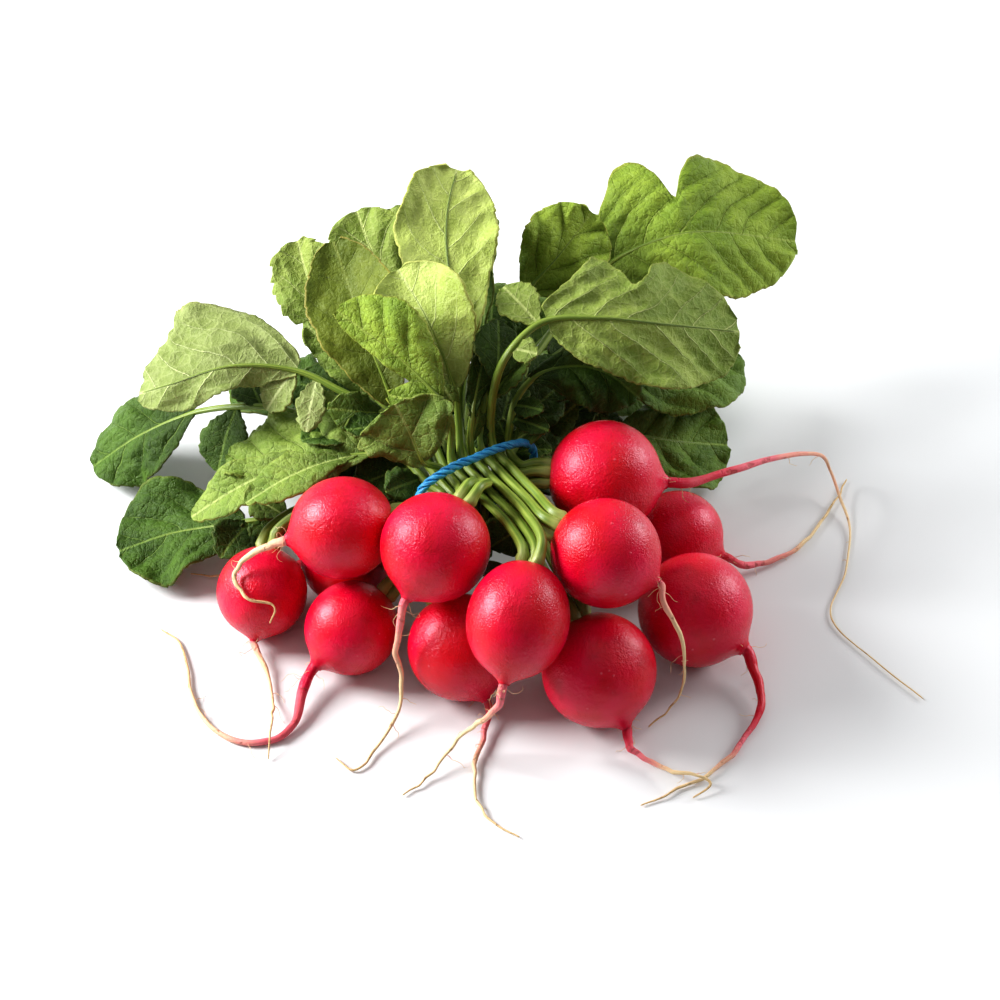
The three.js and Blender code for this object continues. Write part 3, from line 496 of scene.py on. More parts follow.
# Radish roots: globe, neck, tail and rootlets in one piece. Millimetres. "out" points from crown to tail,
# "neck" is the radius of the neck, "past" the points that the stalks pass, "pale" how soon the tail pales.
radishes = [
    dict(centre=(-59.6, 23.6, 13.0), radius=13.7, out=(-0.15, -0.8, -0.58), neck=1.29, pale=0.4,
         tail=[(-60.8, 8.6, 3.6), (-57.6, 2.0, 2.2), (-55.2, -8, 1.6), (-54.6, -22, 5.0), (-55.2, -31, 0.8)],
         past=[(-50, 42, 27), (-36, 43.5, 30.5), (-20, 35.5, 30.3), (-10.2, 27.6, 32.7)]),
    dict(centre=(-34.5, 24.0, 40.0), radius=15.2, stretch=1.02, out=(-0.97, -0.19, -0.12), neck=1.81,
         pale=0.36, tail=[(-58.5, 20.5, 34.5), (-64, 20.2, 30), (-66.6, 17, 25.6), (-62, 11.6, 22.8),
         (-55, 10.8, 20.3), (-56.3, 8.4, 15.5)], past=[(-12, 29, 43)]),
    dict(centre=(-32.4, 9.0, 13.1), radius=13.9, stretch=1.02, out=(-0.68, -0.6, -0.42), neck=1.89,
         thick=0.95, pale=-0.05, tail=[(-46.5, -8, 4.4), (-48.6, -17.6, 2.0), (-53.4, -23.5, 1.3),
         (-62.3, -25, 1.1), (-71.9, -19.4, 1.0), (-78.3, -9, 1.0), (-81.8, 4.8, 0.9), (-84.3, 13.7, 0.8),
         (-90.9, 19.9, 0.7)], past=[(-13.5, 23.5, 25.5), (-1, 29.5, 31.5)]),
    dict(centre=(-7.0, 10.0, 46.2), radius=15.9, out=(-0.487, -0.725, -0.49), neck=1.63, pale=0.2,
         tail=[(-17.2, -6.4, 30), (-18.4, -8.4, 22), (-17, -10.5, 13), (-17.6, -15.2, 6), (-22.1, -23.9, 2),
         (-30, -34.6, 0.9), (-36.1, -30.1, 0.8)], past=[(5, 31, 50)]),
    dict(centre=(0, 0, 14.6), radius=15.5, stretch=1.02, out=(0.43, -0.64, -0.64), neck=1.55, pale=0.08,
         tail=[(8.1, -16, 2.9), (6.4, -24, 2.0), (4, -34.9, 1.5), (4.6, -44.5, 1.2), (8.6, -53.2, 0.9),
         (17, -59, 0.7)], past=[(2.5, 24, 27.5)]),
    dict(centre=(16.5, -12.4, 40.0), radius=14.7, stretch=1.16, out=(-0.215, -0.795, -0.563), neck=1.63,
         pale=0.2, tail=[(11.5, -30.5, 25.5), (7.2, -29.5, 17.5), (1.7, -27.6, 9.5), (-4.1, -32, 4),
         (-10.3, -39, 1.2), (-16.4, -44.1, 0.8)], past=[(16.5, 19, 48.5)]),
    dict(centre=(42.7, 46.2, 38.6), radius=17.0, out=(0.99, -0.04, -0.06), neck=1.98, power=2.2, pale=0.08,
         tail=[(68.2, 46.7, 36), (79.2, 53.9, 33.5), (91.3, 63.2, 29), (104.3, 74, 22), (112.7, 80.5, 14),
         (115.3, 81.8, 7.5), (118.2, 74.5, 3.6), (120.8, 63, 1.2), (117.7, 44.1, 0.8), (111.7, 27.4, 0.7),
         (113.1, 20, 0.7), (123, 7.2, 0.7), (136.1, -8.4, 0.7)], past=[]),
    dict(centre=(41.6, 7.4, 46.4), radius=15.7, stretch=1.02, out=(0.85, -0.486, -0.2), neck=1.29, pale=0.3,
         tail=[(57.4, -4.8, 40.5), (61.2, -8.4, 34), (63.9, -10, 24), (64.4, -11.2, 14), (61.4, -14.5, 5),
         (54.4, -19, 0.9)], past=[(19.5, 29, 46.5)]),
    dict(centre=(40.2, -10.0, 15.9), radius=16.7, out=(0.42, -0.64, -0.64), neck=1.63, thick=1.0,
         tail=[(48.5, -27.5, 3.2), (52.6, -31.6, 2.3), (58, -35.8, 2.6), (66.8, -39.4, 4.4),
         (71.6, -41.4, 2.6), (66, -45, 0.8)], past=[(24.5, 13, 33), (17.5, 29.5, 37)]),
    dict(centre=(65.8, 47.2, 13.1), radius=13.7, out=(0.91, -0.3, -0.3), neck=1.63, pale=0.05,
         tail=[(87.5, 43.6, 3.6), (99.4, 49.2, 2.0), (108.6, 59.4, 1.3), (115.8, 71.7, 1.0),
         (121.7, 84.1, 0.8)], past=[(43.5, 49, 16.5), (31, 41, 22)]),
    dict(centre=(69.0, 13.2, 16.2), radius=17.0, out=(0.79, -0.44, -0.44), neck=1.81, thick=1.12, pale=-0.4,
         tail=[(86, -0.6, 5.2), (88, -9.5, 3.2), (84.3, -20.1, 2.1), (78.4, -29.5, 1.7), (69.4, -37.8, 1.3),
         (51, -47.7, 0.7)], past=[(43.5, 23, 26), (28, 31, 30)]),
    dict(centre=(-35.2, 36.6, 12.9), radius=13.5, out=(-0.95, 0.2, -0.28), neck=1.38, tail=[(-56, 40.6, 6),
         (-69.5, 39.4, 3), (-83.7, 42.5, 0.9)], past=[(-13, 30, 20.5), (-5.3, 29.5, 25)]),
]
rootShape = {"sides": 56, "globeRows": 42, "neckRows": 10, "shoulder": 155.0, "dip": 0.7, "dipWidth": 9.0,
             "neckReach": 1.1, "neckFlare": 1.12, "leaving": 0.62, "arriving": (0.16, -0.25), "steep": 0.9,
             "lumps": ((2, 0.014), (3, 0.009), (5, 0.004))}
tailShape = {"sides": 12, "rows": 110, "tip": 0.2, "thick": 0.86, "power": 1.1, "early": 0.3, "floor": 0.05,
             "leads": (0.98, 1.14), "knots": 24, "knotSize": (-0.1, 0.14), "knotFrom": 0.06,
             "firstRing": 0.9, "bends": 19, "bendSize": (0.45, 0.45, 0.15), "bendFrom": 0.12, "bendTo": 0.1,
             "paleFrom": 0.05, "seed": 39}
rootletShape = {"count": 11, "nearNeck": 6, "neckPlace": (0.005, 0.07), "tailPlace": (0.08, 0.75),
                "neckSize": (3.5, 11.0), "tailSize": (3.0, 8.0), "forward": (0.1, 0.9), "steps": 7,
                "stray": 0.42, "sag": (0, 0, -0.1), "lowest": 0.25, "curveSteps": 60, "rows": 18, "sides": 5,
                "radius": 0.11, "thins": 0.55, "paleAt": 1.35, "paleBy": 0.4}


def rootAxes(radish):
    # centre, direction, radius and half length of a globe
    radius = radish["radius"]
    return np.array(radish["centre"], float), unit(radish["out"]), radius, radius * radish.get("stretch", 1)


def neckRadius(radish):
    return radish["neck"] * radish.get("thick", tailShape["thick"])


def tailRadii(radish, t):
    slim = (1 - t) ** radish.get("power", tailShape["power"]) * (1 - tailShape["early"] * 4 * t * (1 - t))
    return tailShape["tip"] + (neckRadius(radish) - tailShape["tip"]) * slim


def makeRootlet(bm, rng, route, near):
    place = float(rng.uniform(*rootletShape["neckPlace" if near else "tailPlace"]))
    heading = route.direction(place)[0]
    side = unit(np.cross(heading, rng.normal(size=3)))
    size = rng.uniform(*rootletShape["neckSize" if near else "tailSize"])
    lean = unit(side + heading * rng.uniform(*rootletShape["forward"]))
    points = [route.at(place)[0]]
    for step in range(rootletShape["steps"]):
        lean = unit(lean + rng.normal(size=3) * rootletShape["stray"] + np.array(rootletShape["sag"]))
        points.append(points[-1] + lean * size / rootletShape["steps"])
    points = [[p[0], p[1], max(p[2], rootletShape["lowest"])] for p in points]
    parts = np.linspace(0, 1, rootletShape["rows"] + 1)
    thin = rootletShape["radius"] * (1 - rootletShape["thins"] * parts)
    thin[-1] = 0.0
    fade = rootletShape["paleAt"] + rootletShape["paleBy"] * parts
    tubeSheet(bm, Route(points, rootletShape["curveSteps"]), parts, thin, rootletShape["sides"], "skin",
              lambda angle, row: np.stack([angle / mapTurn, fade[row]], 1))


def makeRoot(number, radish):
    rng = np.random.default_rng(tailShape["seed"] + number)
    bm = bmesh.new()
    centre, out, radius, length = rootAxes(radish)
    reference = np.array([0, 0, 1.0]) if abs(out[2]) < rootShape["steep"] else np.array([1.0, 0, 0])
    sideA = unit(np.cross(reference, out))
    sideB = np.cross(out, sideA)
    # profile from crown to neck: a round globe, a little sunken at the crown, then a curve into the tail
    theta = np.radians(np.linspace(0, rootShape["shoulder"], rootShape["globeRows"] + 1))
    dip = np.exp(-(np.degrees(theta) / rootShape["dipWidth"]) ** 2)
    along = -np.cos(theta) * length + dip * rootShape["dip"]
    wide = np.sin(theta) * radius
    w = np.linspace(0, 1, rootShape["neckRows"] + 1)[1:, None]
    leaving = np.array([math.sin(theta[-1]) * length, math.cos(theta[-1]) * radius]) * rootShape["leaving"]
    arriving = np.array([length, radish["neck"]]) * rootShape["arriving"]
    start = np.array([along[-1], wide[-1]])
    end = np.array([length * rootShape["neckReach"], neckRadius(radish) * rootShape["neckFlare"]])
    sweep = ((2 * w ** 3 - 3 * w ** 2 + 1) * start + (w ** 3 - 2 * w ** 2 + w) * leaving
             + (-2 * w ** 3 + 3 * w ** 2) * end + (w ** 3 - w ** 2) * arriving)
    along, wide = np.concatenate([along, sweep[:, 0]]), np.concatenate([wide, sweep[:, 1]])
    rows = len(along) - 1
    mesh, u, row = gridPoints(rootShape["sides"], rows)
    angle = (u + 1) * math.pi
    # a globe is never quite round: broad soft lobes round its belly
    belly = np.sin(math.pi * row / rows)
    lump = np.zeros(len(angle))
    for waves, size in rootShape["lumps"]:
        lump += size * np.sin(waves * angle + rng.uniform(0, mapTurn)) * belly
    ring = wide[row] * (1 + lump * belly)
    spots = (centre + out * along[row][:, None] + sideA * (ring * np.cos(angle))[:, None]
             + sideB * (ring * np.sin(angle))[:, None])
    spots[:, 2] = np.maximum(spots[:, 2], 0.0)
    addSheet(bm, mesh, spots, {"skin": np.stack([angle / fullTurn, row / rows], 1)})
    # tail: starts inside the neck, kinks a little, and thins to a thread
    route = Route([*(centre + out * length * lead for lead in tailShape["leads"]), *radish["tail"]])
    parts = np.linspace(0, 1, tailShape["rows"] + 1)

    def scattered(count, low, high):
        return np.interp(parts, np.linspace(0, 1, count), rng.uniform(low, high, count))

    knots = scattered(tailShape["knots"], *tailShape["knotSize"])
    radii = tailRadii(radish, parts) * (1 + knots * np.clip(parts / tailShape["knotFrom"], 0, 1))
    radii[0] *= tailShape["firstRing"]
    radii[-1] = 0.0
    wiggle = np.stack([scattered(tailShape["bends"], -1, 1) * size for size in tailShape["bendSize"]], 1)
    wiggle *= (np.clip(parts / tailShape["bendFrom"], 0, 1)
               * np.clip((1 - parts) / tailShape["bendTo"], 0, 1))[:, None]
    pale = radish.get("pale", 0.0)
    fade = 1 + parts * (1 - pale) + pale * np.clip(parts / tailShape["paleFrom"], 0, 1)
    tubeSheet(bm, route, parts, radii, tailShape["sides"], "skin",
              lambda angle, row: np.stack([angle / fullTurn, fade[row]], 1),
              firstSide=sideA, floor=tailShape["floor"], shift=wiggle)
    for k in range(rootletShape["count"]):
        makeRootlet(bm, rng, route, k < rootletShape["nearNeck"])
    name = f"radish_{number:02d}"
    finishPiece(name + "_skin", bm, [rootMaterial], [name])


for number, radish in enumerate(radishes, 1):
    makeRoot(number, radish)
print("roots made:", len(radishes))


# Leaves: each is a fine blade with its veins, a ribbed stalk and its leaflets. Millimetres.
# "radish" is the root it grows from, "slot" its layer and place across the tied bundle, "route" the points
# that it runs through after the tie, "start" the place of the blade's foot on them, "half" its half width,
# "face" the way its upper side looks. "tone" groups the leaves by their skin; "shade" is the finish where
# it differs. "full" and "round" shape the outline, with slow waves by "tooth" and small teeth by "teeth";
# "puff", "crinkle" and "frill" set the relief. "narrow" is side and share of width; "notch" is place, depth
# and side; each of "lobes" is place, size, spread and side; each of "leaflets" is place on the route, tip,
# half width and any finish of its own.
leafRows = [
    dict(name="left_arched", radish=2, slot=(3, -10.4), half=27, tone="pale", face=(-0.1, -0.45, 0.9),
         cup=-0.3, wave=1.6, narrow=(-1, 0.3), full=1.45, round=0.46, crinkle=2.4, lobes=[(0.9, 0.4, 0.1, 1),
         (0.66, -0.08, 0.08, 1)], route=[(-22, 61, 49.5), (-36.5, 67.6, 54), (-48.6, 72.7, 57),
         (-68.6, 73.2, 59), (-88.6, 72.4, 52), (-98.7, 76, 45)], leaflets=[(2.1, (-59.1, 67.6, 46), 5.5),
         (1.6, (-46.5, 57, 47), 4.5), (-0.22, (-34, 53, 52), 7, "dark"), (0.09, (-40, 60, 54), 6, "mid")]),
    dict(name="left_lobed", radish=2, slot=(2, -12.6), half=14.5, tone="dark", start=3,
         face=(-0.2, -0.3, 0.93), cup=-0.12, wave=1.2, route=[(-24, 60, 40), (-42, 70, 39),
         (-59.6, 79, 36.5), (-83.1, 87.2, 27), (-102, 88.4, 16), (-118, 85.8, 4.5)],
         leaflets=[(2.45, (-76, 68.5, 19), 8.5), (2.1, (-67, 93, 38), 7), (0.42, (-48, 57, 44), 9, "dark"),
         (-0.52, (-32, 46, 35), 8, "dark")]),
    dict(name="left_floor", radish=1, slot=(1, -14.35), half=19, tone="dark", face=(0, -0.2, 0.98), cup=0.1,
         wave=2.0, full=1.5, puff=0.9, route=[(-22, 50, 25), (-44, 53, 17), (-66.1, 52, 14),
         (-89.9, 52.4, 8.5), (-106, 48.5, 4.5)], leaflets=[(1.46, (-65, 58, 19), 8, "light"),
         (1.96, (-73, 37, 14), 7, "dark"), (1.66, (-60, 43, 13), 6, "mid")]),
    dict(name="left_light", radish=2, slot=(3, -14.4), half=15, tone="light", start=0.6,
         face=(-0.1, -0.3, 0.95), cup=0.05, wave=2.2, tooth=0.1, narrow=(-1, 0.6), round=0.42, teeth=1.6,
         puff=1.5, crinkle=4.0, frill=3.4, lobes=[(0.32, 0.75, 0.16, 1), (0.3, 0.5, 0.16, -1)],
         route=[(-18, 50, 43.5), (-33, 51.5, 43), (-52, 56, 39), (-72, 60, 30)],
         leaflets=[(1.5, (-82, 45, 23), 8), (0.9, (-64, 36, 38), 8, "light"),
         (-0.82, (-22, 35, 44), 6, "dark")]),
    dict(name="left_toothed", radish=3, slot=(2, -5.4), half=11.5, tone="mid", shade="soft",
         face=(-0.3, -0.75, 0.6), cup=0.15, wave=1.2, tooth=0.12, teeth=2.4, route=[(-13, 66, 41),
         (-26.7, 80.1, 47), (-38.1, 89.4, 53), (-43.2, 99.9, 58), (-48, 109.4, 64), (-51.3, 119, 70)]),
    dict(name="olive", radish=4, slot=(3, -6.9), half=13.5, tone="olive", start=1, face=(-0.1, -0.75, 0.65),
         cup=0.2, wave=0.8, puff=0.35, crinkle=1.4, frill=1.2, route=[(-10, 57, 46.5), (-19, 61.2, 53),
         (-24.3, 68.1, 62), (-30.4, 80.3, 71), (-35.1, 92.8, 78), (-38.8, 101.9, 84)]),
    dict(name="behind_olive", radish=6, slot=(3, -3.6), half=12.5, tone="mid", shade="soft",
         face=(0, -0.75, 0.65), cup=0.1, wave=1.0, route=[(-8, 68, 44), (-17, 92, 54), (-22, 103, 60),
         (-28.5, 115, 70), (-33, 126, 76)], leaflets=[(-0.25, (-9, 74, 51), 6, "dark")]),
    dict(name="tallest", radish=6, slot=(3, 0), half=15, tone="pale", shade="lime", start=1,
         face=(0.05, -0.75, 0.65), cup=0.12, full=1.6, round=0.45, puff=0.5, crinkle=1.5, frill=2.2,
         route=[(-1, 66, 46), (0, 79.2, 58), (-3.1, 92.9, 71), (-5, 106.8, 80), (-4.4, 116.2, 86),
         (-1.7, 127.9, 91)]),
    dict(name="back_peak", radish=9, slot=(2, -1.8), half=12, tone="mid", shade="soft", start=1,
         face=(0, -0.7, 0.7), cup=0.1, wave=1.0, teeth=1.8, route=[(-6, 76, 40), (-11, 98, 48),
         (-14, 114, 56), (-23, 135, 70)], leaflets=[(-0.7, (-9, 61, 36), 7, "dark")]),
    dict(name="edge_on", radish=8, slot=(3, 3.6), half=8, tone="mid", start=1, face=(-0.75, -0.45, 0.3),
         cup=0.2, wave=1.0, route=[(5, 68, 44), (6.5, 90, 54), (7, 104, 66), (8.5, 121, 80)]),
    dict(name="cupped", radish=4, slot=(4, -1.8), half=14, tone="mid", shade="lime", start=1,
         face=(0.1, -0.8, 0.55), cup=0.35, wave=0.8, puff=0.35, crinkle=1.4, frill=1.4, route=[(-1, 56, 52),
         (-2, 61, 60), (-10, 73.5, 77), (-19, 88.5, 84)], leaflets=[(0.49, (-6, 61, 64), 3, "light")]),
    dict(name="folded", radish=4, slot=(4, -5.4), half=14, tone="light", shade="bright", start=1,
         face=(-0.05, -0.8, 0.6), wave=0.8, narrow=(-1, 0.3), puff=0.8, route=[(-3, 52, 55), (-6, 51.5, 65),
         (-19.3, 60.5, 75), (-36.7, 71, 83)], leaflets=[(0.7, (-21.5, 55, 64), 5.5)]),
    dict(name="by_tie", radish=2, slot=(4, -9.0), half=15, tone="dark", shade="light", start=0.8,
         face=(0, -0.72, 0.7), cup=0.1, wave=1.0, tooth=0.08, full=1.59, teeth=1.8, puff=1.1,
         route=[(-9.5, 43.5, 46.5), (-11.5, 40.5, 51), (-14.3, 44, 57), (-19.2, 49, 66)]),
    dict(name="right_large", radish=7, slot=(3, 10.8), half=25, tone="bright", face=(0.1, -0.5, 0.85),
         cup=-0.12, wave=2.0, narrow=(1, 0.85), notch=(0.41, 0.55, -1), full=1.2, round=0.46, puff=0.9,
         crinkle=2.2, frill=2.4, lobes=[(0.24, 0.5, 0.13, -1), (0.56, 0.12, 0.14, -1)], route=[(14, 72, 45),
         (27, 98, 50), (42.8, 121, 56), (56, 126, 62), (72, 129, 65), (106, 139, 53)],
         leaflets=[(-0.5, (16, 83, 52), 6, "dark")]),
    dict(name="right_pale", radish=8, slot=(4, 9.0), half=19.5, tone="pale", shade="soft",
         face=(0, -0.5, 0.86), cup=-0.15, wave=1.6, notch=(0.41, 0.4, -1), full=1.2, round=0.44, crinkle=2.2,
         lobes=[(0.22, 0.42, 0.12, -1), (0.47, -0.16, 0.05, -1), (0.74, 0.24, 0.13, -1)], route=[(9, 59, 57),
         (13.2, 63, 72), (24, 70.3, 79), (40.7, 70.9, 80), (60, 74, 75), (84.2, 85.2, 62)],
         leaflets=[(1.9, (12.3, 84, 81), 6.5), (1.2, (22.2, 60.7, 75), 4), (0.1, (19, 70, 66), 5, "mid"),
         (0.45, (11, 77, 74), 8, "dark")]),
    dict(name="right_back", radish=9, slot=(2, 5.4), half=14, tone="dark", shade="bright",
         face=(0.1, -0.7, 0.7), cup=0.15, wave=1.2, puff=1.2, crinkle=2.6, route=[(7, 76, 42), (13, 98, 50),
         (19, 109.2, 56), (30, 117, 66), (40, 128, 74)], leaflets=[(-3.0, (8, 30, 25), 8, "dark"),
         (-0.67, (5, 73, 35), 8, "dark")]),
    dict(name="right_under", radish=11, slot=(1, 10.8), half=16, tone="dark", shade="mid",
         face=(0.05, -0.3, 0.95), cup=-0.12, wave=1.6, puff=1.3, crinkle=2.6, route=[(17, 74, 36),
         (30, 86, 36), (42, 90, 36), (60, 98, 32), (74.7, 107, 28), (87.6, 119.7, 23)],
         leaflets=[(-3.0, (24, 46, 24), 9, "dark")]),
    dict(name="right_low", radish=10, slot=(0, 9.0), half=18, tone="dark", shade="mid",
         face=(0, -0.35, 0.94), cup=0.05, wave=2.0, puff=1.2, crinkle=2.4, route=[(22, 72, 31), (34, 84, 26),
         (48, 84, 22), (64.8, 86, 16), (84.1, 93, 7)], leaflets=[(0.71, (45, 85, 30), 8, "dark"),
         (1.06, (49, 83, 26), 8, "dark"), (0.06, (35, 78, 39), 5, "mid"), (0.61, (42, 85, 34), 7, "dark"),
         (-3.0, (15, 37, 22), 9, "dark"), (-0.4, (30, 66, 27), 8, "dark"), (-0.42, (27, 63, 34), 4, "mid"),
         (-0.3, (33, 78, 30), 8, "dark")]),
    dict(name="right_shaded", radish=7, slot=(2, 12.6), half=12, tone="dark", start=1, face=(0, -0.5, 0.86),
         wave=1.6, puff=1.2, crinkle=2.4, route=[(15.5, 68, 40), (25.1, 78.9, 44), (36, 85.8, 46),
         (47, 90.4, 46), (58.4, 95.1, 43)], leaflets=[(0.0, (30, 77, 48), 8, "dark"),
         (0.63, (34, 87, 49), 9, "dark")]),
    dict(name="right_drooping", radish=7, slot=(3, 14.4), half=13, tone="mid", shade="dark", start=1.7,
         face=(-0.1, -0.5, 0.86), wave=1.6, narrow=(-1, 0.5), puff=1.5, crinkle=2.6, route=[(14.5, 61, 47),
         (16.5, 65.5, 53), (22.5, 70, 58), (32.3, 72, 60), (43, 72, 57.5), (53, 69, 50)],
         leaflets=[(0.7, (24, 57, 56), 3.5), (0.2, (26, 54.5, 50), 3.2), (-0.9, (26, 58, 49), 4, "light"),
         (-1.0, (11, 62, 47), 4, "dark")]),
    dict(name="left_small", radish=1, slot=(2, -9.0), half=6, tone="light", start=1, face=(-0.1, -0.6, 0.8),
         cup=0.1, wave=1.0, route=[(-15, 58, 43.5), (-24, 67, 48.5), (-35, 78, 56), (-47, 88, 62)]),
    dict(name="left_crinkled", radish=1, slot=(1, -10.8), half=12, tone="dark", start=0.4,
         face=(-0.1, -0.6, 0.8), cup=0.1, wave=1.5, puff=1.5, crinkle=2.6, route=[(-14, 56, 33),
         (-27, 64, 31), (-38.6, 69.5, 28), (-49.9, 76, 24), (-57, 82, 19)],
         leaflets=[(0.36, (-27, 54, 37), 4, "light")]),
    dict(name="left_inner", radish=3, slot=(1, -7.2), half=12, tone="dark", start=1, face=(-0.2, -0.6, 0.8),
         cup=0.1, wave=1.8, route=[(-10, 64, 36), (-21, 74, 36), (-32.4, 83, 33), (-41.7, 89, 33),
         (-51.3, 96, 31)]),
    dict(name="back_left_low", radish=12, slot=(0, -9.6), half=16, tone="dark", wave=1.6,
         route=[(-17, 69, 27), (-32, 85, 24), (-45, 97, 21), (-58, 110, 17), (-70, 125, 10)],
         leaflets=[(-3.0, (9, 40, 19), 9, "dark")]),
    dict(name="back_low_a", radish=12, slot=(0, -5.1), half=15, tone="dark", route=[(-9, 74, 26),
         (-18, 92, 22), (-24, 104, 19), (-31, 120, 14), (-36, 138, 7)]),
    dict(name="back_low_b", radish=5, slot=(0, -1.8), half=13, tone="dark", route=[(-3, 76, 29),
         (-5, 94, 29), (-6, 106, 28), (-6, 122, 25), (-5, 140, 18)],
         leaflets=[(-3.0, (6, 30, 14), 9, "dark")]),
    dict(name="back_low_c", radish=5, slot=(0, 1.8), half=14, tone="mid", route=[(4, 78, 28), (10, 96, 25),
         (14, 107, 22), (20, 122, 18), (26, 138, 11)]),
    dict(name="back_right_low", radish=10, slot=(0, 5.4), half=16, tone="mid", wave=1.6, route=[(12, 78, 25),
         (26, 94, 20), (35, 103, 16), (47, 116, 11), (58, 131, 6)],
         leaflets=[(-3.0, (20, 52, 16), 9, "dark")]),
    dict(name="back_mid_a", radish=3, slot=(1, -3.6), half=14, tone="mid", face=(0, -0.3, 0.95),
         route=[(-6, 74, 33), (-14, 92, 35), (-19, 104, 37), (-25, 119, 38), (-31, 136, 35)]),
    dict(name="back_mid_b", radish=5, slot=(1, 0), half=13, tone="mid", face=(0, -0.3, 0.95),
         route=[(0, 76, 35), (1, 94, 41), (1, 106, 44), (0, 121, 45), (-2, 139, 42)]),
    dict(name="back_mid_c", radish=11, slot=(1, 3.6), half=13, tone="mid", face=(0, -0.3, 0.95),
         route=[(7, 76, 33), (16, 94, 36), (22, 104, 38), (30, 117, 39), (38, 133, 36)],
         leaflets=[(-1.4, (30, 60, 20), 8, "dark")]),
    dict(name="centre_back", radish=9, slot=(2, 1.8), half=11, tone="dark", start=1, face=(0, -0.7, 0.7),
         cup=0.1, wave=1.0, route=[(2, 74, 42), (6.5, 86, 48), (8.5, 97, 53), (9, 108, 58)]),
    dict(name="right_inner", radish=7, slot=(2, 9.0), half=13, tone="dark", start=1, face=(0, -0.4, 0.9),
         wave=1.6, route=[(13, 74, 41), (27, 93, 44), (42, 107, 45), (60, 119, 42)]),
    dict(name="young_centre", radish=8, slot=(4, 5.4), half=6, tone="dark", start=1, face=(0.1, -0.7, 0.7),
         cup=0.2, wave=0.8, route=[(5.8, 58, 50), (7, 62, 57), (9, 70.3, 65), (13.5, 80.1, 71)],
         leaflets=[(-0.5, (5, 84, 58), 5, "dark"), (-1.0, (4, 61, 50), 3.5, "dark")]),
    dict(name="young_tie", radish=6, slot=(4, 1.8), half=3.4, tone="dark", start=1, face=(0.3, -0.7, 0.6),
         cup=0.15, wave=0.6, route=[(2.6, 51.5, 49), (3.1, 54.9, 55), (4.9, 62.6, 62), (7, 70.3, 69)],
         leaflets=[(-0.3, (6, 74, 62), 4.5, "mid")]),
]
leafUsual = dict(start=2, face=(0, -0.1, 1), cup=-0.1, wave=1.4, full=1.378, round=0.54, tooth=0.05,
                 teeth=1.0, puff=1.0, crinkle=1.9, frill=1.6, narrow=None, notch=None, lobes=(), leaflets=())
leaves = [{**leafUsual, "shade": row["tone"], **row} for row in leafRows]
bundle = {"centre": np.array([4.3, 45, 37.5]), "across": unit([0.855, 0.519, 0]),
          "along": unit([-0.519, 0.855, 0]), "up": np.array([0, 0, 1.0]), "rowHeight": 3.2, "lead": 5.0,
          "crowding": 0.97, "gap": 0.35, "middleRow": 2, "straight": 3.5}
bladeShape = {"columns": 40, "rows": 100, "backColumns": 22, "backRows": 48, "foot": 0.02, "end": 0.992,
              "thick": 0.7, "notchWidth": 0.055, "notchPower": 1.3, "notchDepth": 1.05, "waves": 4.5,
              "waveDepth": 0.35, "lowest": 0.9}
leafletShape = {"columns": 16, "rows": 30, "full": 1.2, "round": 0.7, "toothLength": 3.3, "toothDepth": 1.1,
                "least": 0.6, "dish": 0.12, "spacing": 0.55, "puff": 0.45, "crinkle": 0.6, "frill": 0.8,
                "rise": 0.1, "roll": 0.5, "rollStep": 5.1, "seed": 60, "seedStep": 7, "handShift": 0.4,
                "shiftScale": 0.2, "toothPower": 1.5, "fullTooth": 3, "outward": 0.5}
plainShape = {"spacing": 1.0, "puff": 1.0, "crinkle": 1.0, "frill": 1.0}
# the margin: slow waves, then small forward teeth of uneven depth
margin = {"waveSeed": 31, "waveScale": 0.11, "waveShare": 0.09, "waveMost": 1.6, "deepSeed": 17,
          "deepScale": 0.23, "deep": (0.55, 0.75), "toothLength": 3.7, "shiftScale": 0.13, "shift": 0.8,
          "depth": 0.75, "power": 1.6, "full": 8, "outward": 0.4, "handShift": 0.3,
          "waveHand": 9.0, "deepHand": 5.0, "shiftHand": 3.0}
# the blade's relief: side veins that bend towards the tip, cross veins, slow waves and the frill of the edge
relief = {"spacing": 11.0, "smallHalf": 11, "smallSpacing": 0.75, "drift": (11, 0.06, 0.45), "lean": 0.95,
          "bend": 0.011, "first": 40.0, "puffPower": 0.8, "crossWidth": 0.42, "crossShift": 0.35,
          "cross": (3, 0.12, 0.6), "ribFree": 5.0, "edgeFrom": 1.2, "edgeWidth": 0.5, "edgeLeast": 0.35,
          "puff": 1.45, "puffSpacing": 9, "broad": (0, 0.055, 1.3), "fine": (5, 0.24, 0.6),
          "crinkleFree": 7.0, "frillFrom": 0.6, "frillPower": 1.5, "frill": (21, 0.16), "frillAcross": 0.3,
          "vein": 0.75,
          "quilt": 0.35, "ripples": 2.1, "rippleShift": 0.3, "ripplePower": 1.5}
noiseStep = 3.7
stalkShape = {"sides": 14, "rows": 60, "ribRows": 40, "radius": 1.42, "top": 1.02, "tip": 0.22,
              "sunk": (2.8, 1.8, 0.9), "sunkLength": 7, "ribEnd": 0.03, "ribPower": 1.7, "ribStart": 0.92,
              "flare": 0.55, "flareLength": 4.0, "above": (0.1, 0.0), "below": (-0.45, -0.12), "sinkBy": 6,
              "groove": 0.2, "grooveWidth": 0.55, "ridge": 0.035, "ridges": 6}


def slotOffset(leaf):
    return np.array([leaf["slot"][1], (leaf["slot"][0] - bundle["middleRow"]) * bundle["rowHeight"]])


def crownOf(radish):
    centre, out, radius, length = rootAxes(radish)
    return centre - out * (length + bundle["gap"])


